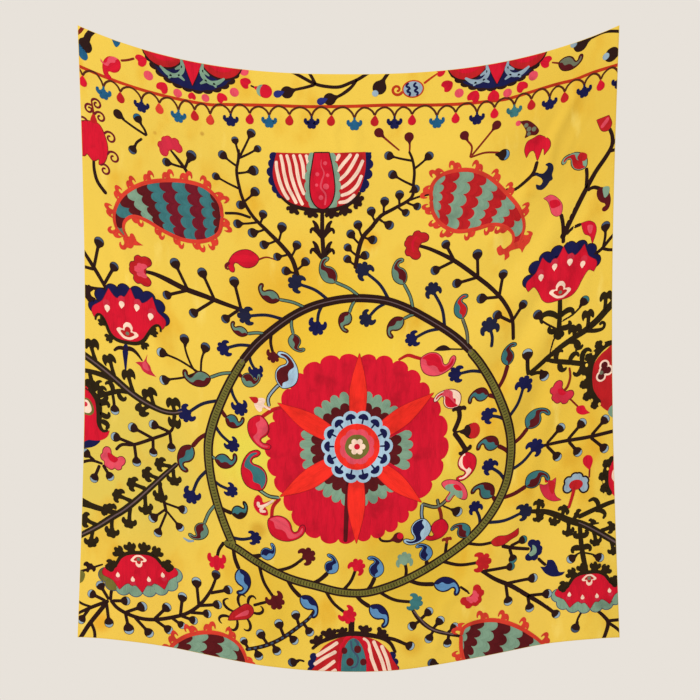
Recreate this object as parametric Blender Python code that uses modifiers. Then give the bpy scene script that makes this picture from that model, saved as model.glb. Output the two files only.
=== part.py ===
"""A suzani wall hanging: one rectangular embroidered cloth, held against a wall by its two upper corners.

The top edge sags between the corners, the sides draw in a little, and soft swags run from corner to
corner. Metres, +Z up, the front towards -Y, the wall behind the cloth at y = 0. The origin is on the
back of the cloth, at the middle of its top edge.
"""

import math
from collections import namedtuple

import bpy

# The cloth as it was cut
CLOTH_WIDTH = 1.357
SIDE_LENGTH = 1.500
CLOTH_THICKNESS = 0.002

# The outline in which it hangs
CORNER_SPAN = 1.328
TOP_SAG = 0.120
TOP_CURVE = 2.45
BOTTOM_SAG = 0.083
BOTTOM_CURVE = 1.15
SIDE_BOW = 0.018
MIDDLE_LENGTH = SIDE_LENGTH - TOP_SAG + BOTTOM_SAG

# A swag is a soft ridge from one upper corner down to its low point on the middle line and up to the
# other corner. Its rise is how far it stands out on the left and on the right half.
Swag = namedtuple("Swag", "low_point half_width left_rise right_rise")
SWAGS = (
    Swag(0.24, 0.11, 0.004, 0.007),
    Swag(0.52, 0.15, 0.009, 0.006),
    Swag(0.80, 0.15, 0.006, 0.013),
    Swag(1.10, 0.19, 0.015, 0.017),
    Swag(1.46, 0.16, 0.005, 0.007),
)
SWAG_CURVE = 3.0
SWAG_BLEND = 0.5
SWAG_FADE = 1.3

# A fall is a soft upright ridge that opens from about mid height down to the bottom edge
Fall = namedtuple("Fall", "middle half_width rise")
FALLS = (
    Fall(-0.56, 0.13, 0.010),
    Fall(-0.27, 0.15, 0.006),
    Fall(0.08, 0.18, 0.007),
    Fall(0.36, 0.14, 0.005),
    Fall(0.60, 0.12, 0.012),
)
FALL_TOP = 0.35

# Each upper corner lies flat on the wall out to PIN_PATCH, and is free of the wall from FREE_CLOTH on
PIN_PATCH = 0.06
FREE_CLOTH = 0.24

# The facets of the solid
COLUMNS = 44
ROWS = 46

YELLOW = (0.83, 0.57, 0.06, 1.0)
CLOTH_ROUGHNESS = 0.75


def smooth_step(value, start, end):
    """0 up to start, 1 from end on, and a smooth slope between."""
    share = min(1.0, max(0.0, (value - start) / (end - start)))
    return share * share * (3 - 2 * share)


def soft_ridge(distance, half_width):
    """1 on the ridge's line and 0 from half_width on."""
    if abs(distance) >= half_width:
        return 0.0
    return 0.5 * (1 + math.cos(math.pi * distance / half_width))


def distance_to_corner(across, down):
    """Metres along the flat cloth to the nearer upper corner."""
    return math.hypot((1 - abs(across)) * CLOTH_WIDTH / 2, down * SIDE_LENGTH)


def swag_rise(across, down):
    """How far the swags push the cloth out from the wall."""
    spread = 1 - abs(across) ** SWAG_CURVE
    if spread < 1e-6:
        return 0.0
    depth = down * SIDE_LENGTH / spread
    to_right = smooth_step(across, -SWAG_BLEND, SWAG_BLEND)
    rise = 0.0
    for swag in SWAGS:
        height = swag.left_rise + (swag.right_rise - swag.left_rise) * to_right
        rise += height * soft_ridge(depth - swag.low_point, swag.half_width)
    return rise * spread**SWAG_FADE


def fall_rise(across, down):
    """How far the upright ridges push the cloth out from the wall."""
    place = across * CLOTH_WIDTH / 2
    open_share = smooth_step(down, FALL_TOP, 1.0)
    return open_share * sum(
        fall.rise * soft_ridge(place - fall.middle, fall.half_width) for fall in FALLS
    )


def hang(across, down):
    """The hanging place of a point of the cloth: across runs from -1 to 1, down from 0 to 1."""
    half_span = CORNER_SPAN / 2 - SIDE_BOW * math.sin(math.pi * down)
    top = TOP_SAG * abs(across) ** TOP_CURVE
    lift = ((1 - math.cos(math.pi * abs(across))) / 2) ** BOTTOM_CURVE
    bottom = BOTTOM_SAG * lift - MIDDLE_LENGTH
    free = smooth_step(distance_to_corner(across, down), PIN_PATCH, FREE_CLOTH)
    rise = free * (swag_rise(across, down) + fall_rise(across, down))
    return across * half_span, -rise, top + down * (bottom - top)


def clear_scene():
    for thing in list(bpy.data.objects):
        bpy.data.objects.remove(thing, do_unlink=True)


def cloth_material():
    material = bpy.data.materials.new("yellow_cloth")
    material.use_nodes = True
    shader = material.node_tree.nodes["Principled BSDF"]
    shader.inputs["Base Color"].default_value = YELLOW
    shader.inputs["Roughness"].default_value = CLOTH_ROUGHNESS
    shader.inputs["Metallic"].default_value = 0.0
    material.diffuse_color = YELLOW
    return material


def make_cloth(collection):
    """The cloth: a flat grid of the cut size, hung point by point, then given its thickness to the front."""
    bpy.ops.mesh.primitive_grid_add(x_subdivisions=COLUMNS, y_subdivisions=ROWS, size=2)
    cloth = bpy.context.active_object
    cloth.name = "cloth"
    for vertex in cloth.data.vertices:
        vertex.co = hang(vertex.co.x, (1 - vertex.co.y) / 2)
    cloth.data.shade_smooth()
    cloth.data.materials.append(cloth_material())

    facets = cloth.modifiers.new("facets", "TRIANGULATE")
    facets.quad_method = "FIXED"
    thickness = cloth.modifiers.new("thickness", "SOLIDIFY")
    thickness.thickness = CLOTH_THICKNESS
    thickness.offset = 1.0

    for home in list(cloth.users_collection):
        home.objects.unlink(cloth)
    collection.objects.link(cloth)
    return cloth


def main():
    clear_scene()
    collection = bpy.data.collections.new("suzani_hanging")
    bpy.context.scene.collection.children.link(collection)
    make_cloth(collection)


main()
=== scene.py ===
"""Looks of the suzani wall hanging: a thin yellow cloth in its soft folds, covered with raised embroidery.

The pattern is drawn on the flat cloth, in centimetres: a to the right of the middle line, b down from the
top edge. Every stitch patch is then laid on the hanging cloth by the same rule that hangs the cloth.
"""

import math
from collections import namedtuple

import bpy
import numpy as np
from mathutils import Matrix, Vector
from mathutils.geometry import delaunay_2d_cdt


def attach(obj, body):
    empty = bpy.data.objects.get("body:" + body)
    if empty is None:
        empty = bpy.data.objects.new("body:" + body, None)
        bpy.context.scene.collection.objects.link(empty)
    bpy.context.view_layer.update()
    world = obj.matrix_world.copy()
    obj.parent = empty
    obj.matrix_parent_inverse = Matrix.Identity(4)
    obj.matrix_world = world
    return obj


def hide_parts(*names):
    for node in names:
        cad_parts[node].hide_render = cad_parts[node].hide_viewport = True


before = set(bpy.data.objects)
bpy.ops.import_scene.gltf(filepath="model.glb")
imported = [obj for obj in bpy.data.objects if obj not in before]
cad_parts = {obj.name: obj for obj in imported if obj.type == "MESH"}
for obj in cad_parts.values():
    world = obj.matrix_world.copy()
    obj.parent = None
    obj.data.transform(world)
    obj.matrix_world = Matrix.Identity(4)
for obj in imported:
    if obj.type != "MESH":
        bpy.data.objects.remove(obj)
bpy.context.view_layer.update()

# The cloth's own sizes and folds, in metres, as in the CAD model
CLOTH_WIDTH = 1.357
SIDE_LENGTH = 1.500
CORNER_SPAN = 1.328
TOP_SAG = 0.120
TOP_CURVE = 2.45
BOTTOM_SAG = 0.083
BOTTOM_CURVE = 1.15
SIDE_BOW = 0.018
MIDDLE_LENGTH = SIDE_LENGTH - TOP_SAG + BOTTOM_SAG
Swag = namedtuple("Swag", "low_point half_width left_rise right_rise")
SWAGS = (
    Swag(0.24, 0.11, 0.004, 0.007),
    Swag(0.52, 0.15, 0.009, 0.006),
    Swag(0.80, 0.15, 0.006, 0.013),
    Swag(1.10, 0.19, 0.015, 0.017),
    Swag(1.46, 0.16, 0.005, 0.007),
)
SWAG_CURVE = 3.0
SWAG_BLEND = 0.5
SWAG_FADE = 1.3
SWAG_SOFT = 0.35
Fall = namedtuple("Fall", "middle half_width rise")
FALLS = (
    Fall(-0.56, 0.13, 0.010),
    Fall(-0.27, 0.15, 0.006),
    Fall(0.08, 0.18, 0.007),
    Fall(0.36, 0.14, 0.005),
    Fall(0.60, 0.12, 0.012),
)
FALL_TOP = 0.35
PIN_PATCH = 0.06
FREE_CLOTH = 0.24

# Small creases on top of the folds: a path in centimetres, then half width and rise in metres
Crease = namedtuple("Crease", "path half_width rise")
CREASES = (
    Crease(((-62, 6), (-50, 22), (-36, 34)), 0.035, 0.0026),
    Crease(((62, 6), (54, 20), (46, 34), (38, 44)), 0.035, 0.0042),
    Crease(((64, 22), (58, 40), (50, 56)), 0.040, -0.0032),
    Crease(((-64, 92), (-40, 112), (-14, 124)), 0.050, -0.0032),
    Crease(((60, 84), (36, 106), (10, 118)), 0.045, 0.0029),
    Crease(((2, 12), (1, 22), (3, 34)), 0.030, 0.0022),
    Crease(((-2, 11.5), (-4, 15), (-3, 19)), 0.012, 0.0016),
    Crease(((3, 12), (4.5, 16), (8, 19)), 0.010, -0.0014),
    Crease(((8, 12), (9.5, 14.5), (13, 17.5)), 0.010, 0.0013),
    Crease(((57, 14), (52, 22), (51, 30)), 0.022, 0.0035),
    Crease(((66, 16), (60, 22), (55, 31)), 0.014, -0.0019),
    Crease(((40, 27), (45, 34), (49, 36)), 0.014, 0.0019),
    Crease(((-8, 36), (0, 38), (8, 37)), 0.012, 0.0016),
    Crease(((-56, 12), (-48, 17), (-40, 19)), 0.016, 0.0019),
    Crease(((-30, 126), (-24, 129), (-20, 136)), 0.020, -0.0022),
    Crease(((30, 131), (24, 135), (22, 145)), 0.022, 0.0026),
    Crease(((-20, 136), (-22, 150)), 0.045, 0.0029),
    Crease(((44, 132), (48, 150)), 0.050, -0.0032),
)

# Sheet and stitch heights in metres, stitch outlines in centimetres
SHEET = 0.0010
HEM = 1.3
FIRST = 0.00106
LAYER = 0.00025
RAISE = 0.00020
EDGE = 0.14
RIM = 0.10
HALF_A = CLOTH_WIDTH * 50
LAST_B = SIDE_LENGTH * 100


def smooth_step(value, start, end):
    share = np.clip((value - start) / (end - start), 0.0, 1.0)
    return share * share * (3 - 2 * share)


def soft_ridge(distance, half_width):
    inside = np.abs(distance) < half_width
    return np.where(inside, 0.5 * (1 + np.cos(np.pi * distance / half_width)), 0.0)


def distance_to_path(points, path):
    """The distance from each point to a line of straight pieces."""
    path = np.asarray(path, float)
    starts, ends = path[:-1], path[1:]
    along = ends - starts
    size = np.maximum((along**2).sum(1), 1e-12)
    nearest = np.full(len(points), 1e9)
    for first in range(0, len(points), 2000):
        some = points[first : first + 2000, None, :] - starts[None]
        share = np.clip((some * along).sum(2) / size, 0.0, 1.0)
        gap = some - share[..., None] * along
        nearest[first : first + 2000] = np.sqrt((gap**2).sum(2)).min(1)
    return nearest


def swag_rise(across, down):
    spread = np.maximum(1 - np.abs(across) ** SWAG_CURVE, 0)
    depth = down * SIDE_LENGTH * math.hypot(1, SWAG_SOFT) / np.hypot(spread, SWAG_SOFT)
    to_right = smooth_step(across, -SWAG_BLEND, SWAG_BLEND)
    rise = 0.0
    for swag in SWAGS:
        height = swag.left_rise + (swag.right_rise - swag.left_rise) * to_right
        rise = rise + height * soft_ridge(depth - swag.low_point, swag.half_width)
    return rise * spread**SWAG_FADE


def fall_rise(across, down):
    place = across * CLOTH_WIDTH / 2
    ridges = sum(fall.rise * soft_ridge(place - fall.middle, fall.half_width) for fall in FALLS)
    return smooth_step(down, FALL_TOP, 1.0) * ridges


def crease_rise(flat):
    rise = np.zeros(len(flat))
    for crease in CREASES:
        rise += crease.rise * soft_ridge(distance_to_path(flat, crease.path) / 100, crease.half_width)
    return rise


def hang(flat):
    """The place in the room of points of the flat cloth, on its back."""
    across = flat[:, 0] / HALF_A
    down = flat[:, 1] / LAST_B
    half_span = CORNER_SPAN / 2 - SIDE_BOW * np.sin(np.pi * down)
    top = TOP_SAG * np.abs(across) ** TOP_CURVE
    lift = ((1 - np.cos(np.pi * np.abs(across))) / 2) ** BOTTOM_CURVE
    bottom = BOTTOM_SAG * lift - MIDDLE_LENGTH
    corner = np.hypot((1 - np.abs(across)) * CLOTH_WIDTH / 2, down * SIDE_LENGTH)
    free = smooth_step(corner, PIN_PATCH, FREE_CLOTH)
    rise = free * np.maximum(0, swag_rise(across, down) + fall_rise(across, down) + crease_rise(flat))
    return np.stack((across * half_span, -rise, top + down * (bottom - top)), axis=1)


def on_cloth(flat, lift):
    """Points of the flat cloth, lifted off the back of the hanging cloth towards the front."""
    step = 0.2
    here = hang(flat)
    to_right = hang(flat + (step, 0)) - hang(flat - (step, 0))
    to_floor = hang(flat + (0, step)) - hang(flat - (0, step))
    front = np.cross(to_floor, to_right)
    front /= np.linalg.norm(front, axis=1, keepdims=True)
    return here + front * lift[:, None]


# Thread colours, as seen on screen
THREADS = {
    "crimson": (208, 18, 46),
    "red": (186, 28, 34),
    "scarlet": (240, 46, 34),
    "coral": (212, 60, 44),
    "brick": (190, 52, 24),
    "straw": (240, 204, 84),
    "rust": (132, 38, 24),
    "umber": (84, 38, 22),
    "pink": (226, 78, 98),
    "rose": (204, 42, 66),
    "cream": (250, 218, 198),
    "maroon": (88, 18, 24),
    "wine": (112, 18, 36),
    "bark": (42, 20, 17),
    "pine": (42, 31, 12),
    "moss": (46, 44, 22),
    "grey": (112, 118, 98),
    "mauve": (104, 84, 86),
    "olive": (112, 108, 48),
    "fern": (100, 134, 118),
    "sage": (126, 160, 138),
    "teal": (58, 116, 122),
    "petrol": (30, 92, 134),
    "cobalt": (36, 44, 120),
    "navy": (20, 22, 74),
    "ink": (28, 30, 58),
    "slate": (66, 82, 110),
    "mist": (148, 172, 190),
    "blue": (92, 142, 190),
    "sky": (168, 202, 226),
}
# The light on the cloth is a little over 1, so the surface colours are that much darker
LIGHT = 1.24


def linear(colour):
    """A screen colour, 0 to 255, as the linear values that shaders take."""
    values = [c / 255 for c in colour]
    return tuple(v / 12.92 if v < 0.04045 else ((v + 0.055) / 1.055) ** 2.4 for v in values)


def shade(colour, factor):
    return tuple(min(1.0, c * factor / LIGHT) for c in linear(colour)) + (1.0,)


class Nodes:
    """Short calls for building one material's node tree."""

    def __init__(self, name):
        self.material = bpy.data.materials.new(name)
        self.material.use_nodes = True
        self.tree = self.material.node_tree
        self.shader = self.tree.nodes["Principled BSDF"]

    def add(self, kind, **settings):
        node = self.tree.nodes.new(kind)
        for key, value in settings.items():
            if key in node.inputs:
                node.inputs[key].default_value = value
            else:
                setattr(node, key, value)
        return node

    def link(self, output, target):
        self.tree.links.new(output, target)

    def mix(self, share, first, second, blend="MIX"):
        node = self.add("ShaderNodeMix", data_type="RGBA", blend_type=blend)
        for value, socket in ((share, 0), (first, 6), (second, 7)):
            if isinstance(value, bpy.types.NodeSocket):
                self.link(value, node.inputs[socket])
            else:
                node.inputs[socket].default_value = value
        return node.outputs[2]

    def ramp(self, value, low, high):
        node = self.add("ShaderNodeMapRange", interpolation_type="SMOOTHSTEP")
        node.inputs["From Min"].default_value = low
        node.inputs["From Max"].default_value = high
        self.link(value, node.inputs["Value"])
        return node.outputs["Result"]

    def stretched(self, vector, along, across):
        node = self.add("ShaderNodeMapping")
        node.inputs["Scale"].default_value = (along, across, 1.0)
        self.link(vector, node.inputs["Vector"])
        return node.outputs["Vector"]

    def noise(self, vector, scale, detail=2.0):
        node = self.add("ShaderNodeTexNoise", Scale=scale, Detail=detail)
        self.link(vector, node.inputs["Vector"])
        return node.outputs["Fac"]

    def waves(self, vector, direction, scale):
        node = self.add("ShaderNodeTexWave", bands_direction=direction, Scale=scale)
        node.inputs["Distortion"].default_value = 0.6
        node.inputs["Detail Scale"].default_value = 1.0
        self.link(vector, node.inputs["Vector"])
        return node.outputs["Fac"]


def thread_material(name):
    """Rows of thread: fine ridges along the stitches, uneven in tone, with soft dye bands."""
    colour = THREADS[name]
    nodes = Nodes("thread_" + name)
    place = nodes.add("ShaderNodeUVMap", uv_map="stitch").outputs["UV"]
    body = nodes.add("ShaderNodeTexCoord").outputs["Object"]
    single = nodes.noise(nodes.stretched(place, 45, 700), 1.0)
    bands = nodes.noise(nodes.stretched(place, 12, 60), 1.0)
    patches = nodes.noise(body, 22, 3.0)
    base = nodes.mix(nodes.ramp(bands, 0.32, 0.68), shade(colour, 0.86), shade(colour, 1.14))
    base = nodes.mix(nodes.ramp(single, 0.35, 0.75), base, shade(colour, 1.22))
    base = nodes.mix(nodes.ramp(patches, 0.50, 0.80), base, shade(colour, 0.74))
    nodes.link(base, nodes.shader.inputs["Base Color"])
    ridges = nodes.waves(place, "Y", 900 / math.pi)
    bump = nodes.add("ShaderNodeBump", Strength=0.45, Distance=0.0003)
    nodes.link(ridges, bump.inputs["Height"])
    nodes.link(bump.outputs["Normal"], nodes.shader.inputs["Normal"])
    nodes.shader.inputs["Roughness"].default_value = 0.7
    nodes.shader.inputs["Specular IOR Level"].default_value = 0.08
    return nodes.material


# Where the yellow ground is warmer, paler, greener or stained, with painted shade in the patch over the
# lower middle: a, b, radius in centimetres, colour, share
Spot = namedtuple("Spot", "a b radius colour share")
SPOTS = (
    Spot(-12, 60, 26, (236, 184, 48), 0.75),
    Spot(0, 66, 24, (250, 216, 66), 0.55),
    Spot(-50, 26, 40, (236, 203, 84), 0.8),
    Spot(-58, 106, 34, (226, 203, 90), 0.85),
    Spot(-26, 98, 12, (236, 228, 84), 0.7),
    Spot(24, 104, 14, (232, 214, 80), 0.6),
    Spot(18, 122, 26, (226, 188, 52), 0.7),
    # Darker and warmer over the lower middle: partly the ground's own tone, partly painted shade of the
    # lowest fold's trough
    Spot(50, 96, 30, (234, 192, 58), 0.5),
    Spot(56, 20, 30, (232, 192, 66), 0.6),
    Spot(-52, 144, 30, (246, 206, 84), 0.6),
    Spot(-22, 134, 18, (232, 192, 54), 0.6),
    Spot(46, 136, 22, (246, 208, 88), 0.6),
    Spot(26, 30, 22, (248, 212, 84), 0.5),
    Spot(-37, 18, 0.8, (196, 150, 60), 0.8),
    Spot(-49, 20.5, 0.7, (200, 154, 60), 0.7),
    Spot(-62, 146, 3.5, (238, 172, 40), 0.8),
    Spot(-23, 116, 3.0, (214, 162, 44), 0.7),
    Spot(5.5, 42, 3.5, (236, 178, 40), 0.8),
    Spot(16, 144, 4.0, (226, 176, 48), 0.7),
    Spot(57, 104, 4.0, (222, 170, 46), 0.6),
)
YELLOW = (244, 209, 82)
YELLOW_BACK = (236, 202, 92)


def cloth_material(name, yellow, spots, cloudy):
    """Plain woven cotton: two sets of threads, slubs, and the uneven yellow of old dye, with some painted
    shade among the spots.
    """
    nodes = Nodes(name)
    flat = nodes.add("ShaderNodeUVMap", uv_map="flat").outputs["UV"]
    base = shade(yellow, 1.0)
    for spot in spots:
        gap = nodes.add("ShaderNodeVectorMath", operation="DISTANCE")
        nodes.link(flat, gap.inputs[0])
        gap.inputs[1].default_value = (spot.a / 100, spot.b / 100, 0)
        near = nodes.ramp(gap.outputs["Value"], spot.radius / 100, spot.radius / 400)
        part = nodes.add("ShaderNodeMath", operation="MULTIPLY")
        nodes.link(near, part.inputs[0])
        part.inputs[1].default_value = spot.share
        base = nodes.mix(part.outputs[0], base, shade(spot.colour, 1.0))
    clouds = nodes.noise(nodes.stretched(flat, 9, 5), 1.0, 3.0)
    base = nodes.mix(nodes.ramp(clouds, 0.52, cloudy), base, shade((232, 178, 44), 1.0))
    pale = nodes.noise(nodes.stretched(flat, 22, 7), 1.0, 4.0)
    base = nodes.mix(nodes.ramp(pale, 0.60, 0.85), base, shade((252, 224, 112), 1.0))
    slubs = nodes.noise(nodes.stretched(flat, 60, 1500), 1.0)
    base = nodes.mix(nodes.ramp(slubs, 0.62, 0.85), base, shade((206, 160, 50), 1.0))
    nodes.link(base, nodes.shader.inputs["Base Color"])
    weft = nodes.waves(flat, "X", 1100 / math.pi)
    warp = nodes.waves(flat, "Y", 1100 / math.pi)
    both = nodes.add("ShaderNodeMath", operation="MULTIPLY")
    nodes.link(weft, both.inputs[0])
    nodes.link(warp, both.inputs[1])
    bump = nodes.add("ShaderNodeBump", Strength=0.35, Distance=0.0003)
    nodes.link(both.outputs[0], bump.inputs["Height"])
    nodes.link(bump.outputs["Normal"], nodes.shader.inputs["Normal"])
    nodes.shader.inputs["Roughness"].default_value = 0.85
    nodes.shader.inputs["Specular IOR Level"].default_value = 0.10
    return nodes.material


def spline(span):
    """A dense smooth line through a span's inner points; its first and last points only steer the ends."""
    share = np.linspace(0, 1, 14)[:-1, None]
    dense = []
    for p, q, r, s in zip(span, span[1:], span[2:], span[3:]):
        bend = (2 * p - 5 * q + 4 * r - s) * share**2 + (3 * q - p - 3 * r + s) * share**3
        dense.append(0.5 * (2 * q + (r - p) * share + bend))
    return np.vstack(dense + [span[-2][None]])


def even(dense, step):
    """The same line with evenly spaced points."""
    length = np.concatenate(([0], np.cumsum(np.linalg.norm(np.diff(dense, axis=0), axis=1))))
    at = np.linspace(0, length[-1], max(3, int(round(length[-1] / step)) + 1))
    return np.stack([np.interp(at, length, dense[:, axis]) for axis in (0, 1)], axis=1)


def curve(points, closed=False, step=0.3):
    """A smooth line through points, as an array. A point with a third value is a sharp corner."""
    points = list(points)
    corners = [i for i, point in enumerate(points) if len(point) > 2]
    if closed and corners:
        points = points[corners[0] :] + points[: corners[0] + 1]
        return curve(points, False, step)[:-1]
    knots = [np.array(point[:2], float) for point in points]
    if closed:
        return even(spline([knots[-1]] + knots + knots[:2]), step)[:-1]
    breaks = sorted({0, len(knots) - 1} | {i for i, point in enumerate(points) if len(point) > 2})
    line = []
    for first, last in zip(breaks, breaks[1:]):
        span = knots[first : last + 1]
        span = [2 * span[0] - span[1]] + span + [2 * span[-1] - span[-2]]
        part = even(spline(span), step)
        line.append(part[1:] if line else part)
    return np.concatenate(line)


def place(outline, at, to, width=1.0, slant=0.0):
    """Puts a small drawing on the cloth: its (0, 0) and (1, 0) at two points. A negative width flips it."""
    along = np.subtract(to, at)
    side = (np.array((-along[1], along[0])) + along * slant) * width
    return [tuple(np.array(at) + p[0] * along + p[1] * side) + tuple(p[2:]) for p in outline]


def area(ring):
    x, y = ring[:, 0], ring[:, 1]
    return 0.5 * np.sum(x * np.roll(y, -1) - np.roll(x, -1) * y)


def outward(ring):
    along = np.roll(ring, -1, axis=0) - np.roll(ring, 1, axis=0)
    normal = np.stack((along[:, 1], -along[:, 0]), axis=1) * np.sign(area(ring))
    return normal / np.maximum(np.linalg.norm(normal, axis=1, keepdims=True), 1e-9)


def grow(ring, distance):
    """The ring moved outwards, or inwards for a negative distance."""
    return ring + outward(ring) * distance


def close_ring(ring, longest=0.7):
    """The ring with more points on its long edges, so that it follows the folds."""
    points = []
    for start, end in zip(ring, np.roll(ring, -1, axis=0)):
        steps = max(1, math.ceil(math.dist(start, end) / longest))
        points += [start + (end - start) * step / steps for step in range(steps)]
    return np.array(points)


def inside(points, ring):
    nxt = np.roll(ring, -1, axis=0)
    found = np.zeros(len(points), bool)
    for (x1, y1), (x2, y2) in zip(ring, nxt):
        if y1 != y2:
            crosses = (points[:, 1] > min(y1, y2)) & (points[:, 1] <= max(y1, y2))
            found ^= crosses & (points[:, 0] < x1 + (points[:, 1] - y1) * (x2 - x1) / (y2 - y1))
    return found


class Piece:
    """One piece of embroidery, gathered patch by patch on the flat cloth."""

    made = []

    def __init__(self, name):
        self.name = name
        self.flat, self.lift, self.faces, self.threads, self.stitch = [], [], [], [], []
        self.count = 0
        Piece.made.append(self)

    def add(self, flat, lift, faces, thread, stitch):
        self.flat.append(flat)
        self.lift.append(lift)
        self.stitch.append(stitch)
        self.faces += [tuple(corner + self.count for corner in face) for face in faces]
        self.threads += [thread] * len(faces)
        self.count += len(flat)

    def patch(self, ring, thread, level=0, grain=90.0, spacing=0.6):
        """Stitches that fill a ring, low at its edge and raised inside. grain is the way the threads run."""
        if len(ring) < 3:
            return
        base = FIRST + level * LAYER
        ring = close_ring(ring)
        rows = [ring]
        lower, upper = ring.min(0), ring.max(0)
        inner = grow(ring, -EDGE)
        grid_a = np.arange(lower[0] + 0.3, upper[0], spacing)
        grid_b = np.arange(lower[1] + 0.3, upper[1], spacing * 0.87)
        if len(grid_a) and len(grid_b):
            grid = np.stack(np.meshgrid(grid_a, grid_b), axis=2)
            grid[1::2, :, 0] += spacing / 2
            grid = grid.reshape(-1, 2)
            grid = grid[inside(grid, ring)]
        else:
            grid = np.zeros((0, 2))
        loop = np.vstack((ring, ring[:1]))
        inner = inner[inside(inner, ring)]
        if len(inner):
            inner = inner[distance_to_path(inner, loop) > EDGE * 0.8]
            rows.append(inner)
        if len(grid):
            rows.append(grid[distance_to_path(grid, loop) > EDGE + 0.2])
        points = [Vector(point) for point in np.concatenate(rows)]
        edges = [(i, (i + 1) % len(ring)) for i in range(len(ring))]
        flat, _, faces, _, _, _ = delaunay_2d_cdt(points, edges, [], 1, 1e-5)
        if not faces:
            return
        flat = np.array([tuple(point) for point in flat])
        lift = base + RAISE * smooth_step(distance_to_path(flat, loop), 0, EDGE)
        turn = math.radians(grain)
        u = flat[:, 0] * math.cos(turn) + flat[:, 1] * math.sin(turn)
        v = flat[:, 1] * math.cos(turn) - flat[:, 0] * math.sin(turn)
        self.add(flat, lift, faces, thread, np.stack((u, v), axis=1) / 100)

    def fill(self, outline, thread, level=0, grain=90.0, step=0.3):
        self.patch(curve(outline, True, step), thread, level, grain)

    def grid(self, rows, thread, level=0, low_edges=True):
        """A strip of quads from lines of equal length, laid side by side."""
        rows = np.asarray(rows)
        count, length = rows.shape[:2]
        lift = np.full((count, length), FIRST + level * LAYER + RAISE)
        if low_edges:
            lift[0] -= RAISE
            lift[-1] -= RAISE
            lift[:, 0] -= RAISE
            lift[:, -1] -= RAISE
            lift = np.maximum(lift, FIRST + level * LAYER)
        along = np.concatenate(([0], np.cumsum(np.linalg.norm(np.diff(rows[count // 2], axis=0), axis=1))))
        across = np.linalg.norm(rows - rows[:1], axis=2)
        stitch = np.stack((np.broadcast_to(along, across.shape), across), axis=2).reshape(-1, 2) / 100
        faces = []
        for i in range(count - 1):
            for j in range(length - 1):
                first = i * length + j
                faces.append((first, first + 1, first + length + 1, first + length))
        self.add(rows.reshape(-1, 2), lift.reshape(-1), faces, thread, stitch)

    def stroke(self, points, width, thread, level=0, step=0.45):
        """A line of stitches along a curve. width is a number, or several spread evenly along the line."""
        widest = float(np.max(width))
        line = curve(points, False, min(step, max(0.18, widest * 0.5)))
        length = np.concatenate(([0], np.cumsum(np.linalg.norm(np.diff(line, axis=0), axis=1))))
        ends = np.array((0.02, 0.15, 0.4, 0.75)) * widest / 2
        ends = ends[ends < length[-1] / 3]
        at = np.unique(np.concatenate((length, ends, length[-1] - ends)))
        line = np.stack([np.interp(at, length, line[:, axis]) for axis in (0, 1)], axis=1)
        along = np.gradient(line, axis=0)
        along /= np.maximum(np.linalg.norm(along, axis=1, keepdims=True), 1e-9)
        side = np.stack((-along[:, 1], along[:, 0]), axis=1)
        widths = np.atleast_1d(np.asarray(width, float))
        half = np.interp(at / at[-1], np.linspace(0, 1, len(widths)), widths) / 2
        to_end = np.minimum(np.minimum(at, at[-1] - at) / np.maximum(half, 1e-6), 1.0)
        half = half * np.sqrt(np.maximum(1 - (1 - to_end) ** 2, 0.0)) + 0.01
        shares = (-1, 0, 1) if widest < 0.75 else (-1, -0.7, 0, 0.7, 1)
        rows = [line + side * (half * share)[:, None] for share in shares]
        self.grid(rows, thread, level)

    def build(self):
        """The finished mesh, cut off at the cloth's edge."""
        flat = np.concatenate(self.flat)
        limit = np.array((HALF_A - RIM, LAST_B - RIM))
        flat = np.clip(flat, (-limit[0], RIM), limit)
        lift = np.concatenate(self.lift)
        stitch = np.concatenate(self.stitch)
        faces, threads = [], []
        for face, thread in zip(self.faces, self.threads):
            corners = flat[list(face)]
            size = area(corners)
            if abs(size) > 2e-5:
                faces.append(face if size < 0 else face[::-1])
                threads.append(thread)
        mesh = bpy.data.meshes.new(self.name)
        mesh.from_pydata(on_cloth(flat, lift).tolist(), [], faces)
        names = sorted(set(threads))
        for name in names:
            mesh.materials.append(materials[name])
        mesh.polygons.foreach_set("material_index", [names.index(thread) for thread in threads])
        mesh.polygons.foreach_set("use_smooth", [True] * len(faces))
        corners = np.array([corner for face in faces for corner in face])
        layer = mesh.uv_layers.new(name="stitch")
        layer.data.foreach_set("uv", stitch[corners].reshape(-1))
        piece = bpy.data.objects.new(self.name, mesh)
        bpy.context.scene.collection.objects.link(piece)
        return piece


# Small drawings, each along +u from its foot. v is to the right of the way it points.
LEAF = [(0, 0), (0.10, -0.17), (0.30, -0.29), (0.54, -0.28), (0.77, -0.17), (0.94, 0.02), (1.02, 0.22),
        (0.98, 0.40), (0.88, 0.44), (0.84, 0.34), (0.86, 0.22), (0.80, 0.13), (0.70, 0.14), (0.62, 0.21),
        (0.52, 0.27), (0.34, 0.29), (0.13, 0.20)]
LEAF_INNER = [(0.02, 0), (0.15, 0.01), (0.30, -0.09), (0.46, -0.02), (0.60, -0.02), (0.76, -0.09),
              (0.90, 0.03), (0.98, 0.22), (0.94, 0.36), (0.90, 0.36), (0.90, 0.22), (0.82, 0.10),
              (0.70, 0.11), (0.60, 0.18), (0.50, 0.24), (0.34, 0.27), (0.14, 0.18)]
CLOVER_HALF = [(-0.50, 0), (-0.44, 0.22), (-0.26, 0.40), (-0.30, 0.62), (-0.48, 0.68), (-0.66, 0.70),
               (-0.68, 0.92), (-0.44, 1.12), (-0.06, 1.16), (0.26, 1.02), (0.38, 0.80), (0.54, 0.94),
               (0.84, 0.86), (0.98, 0.58), (0.86, 0.36), (1.02, 0.36), (1.20, 0.18), (1.22, 0)]
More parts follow.
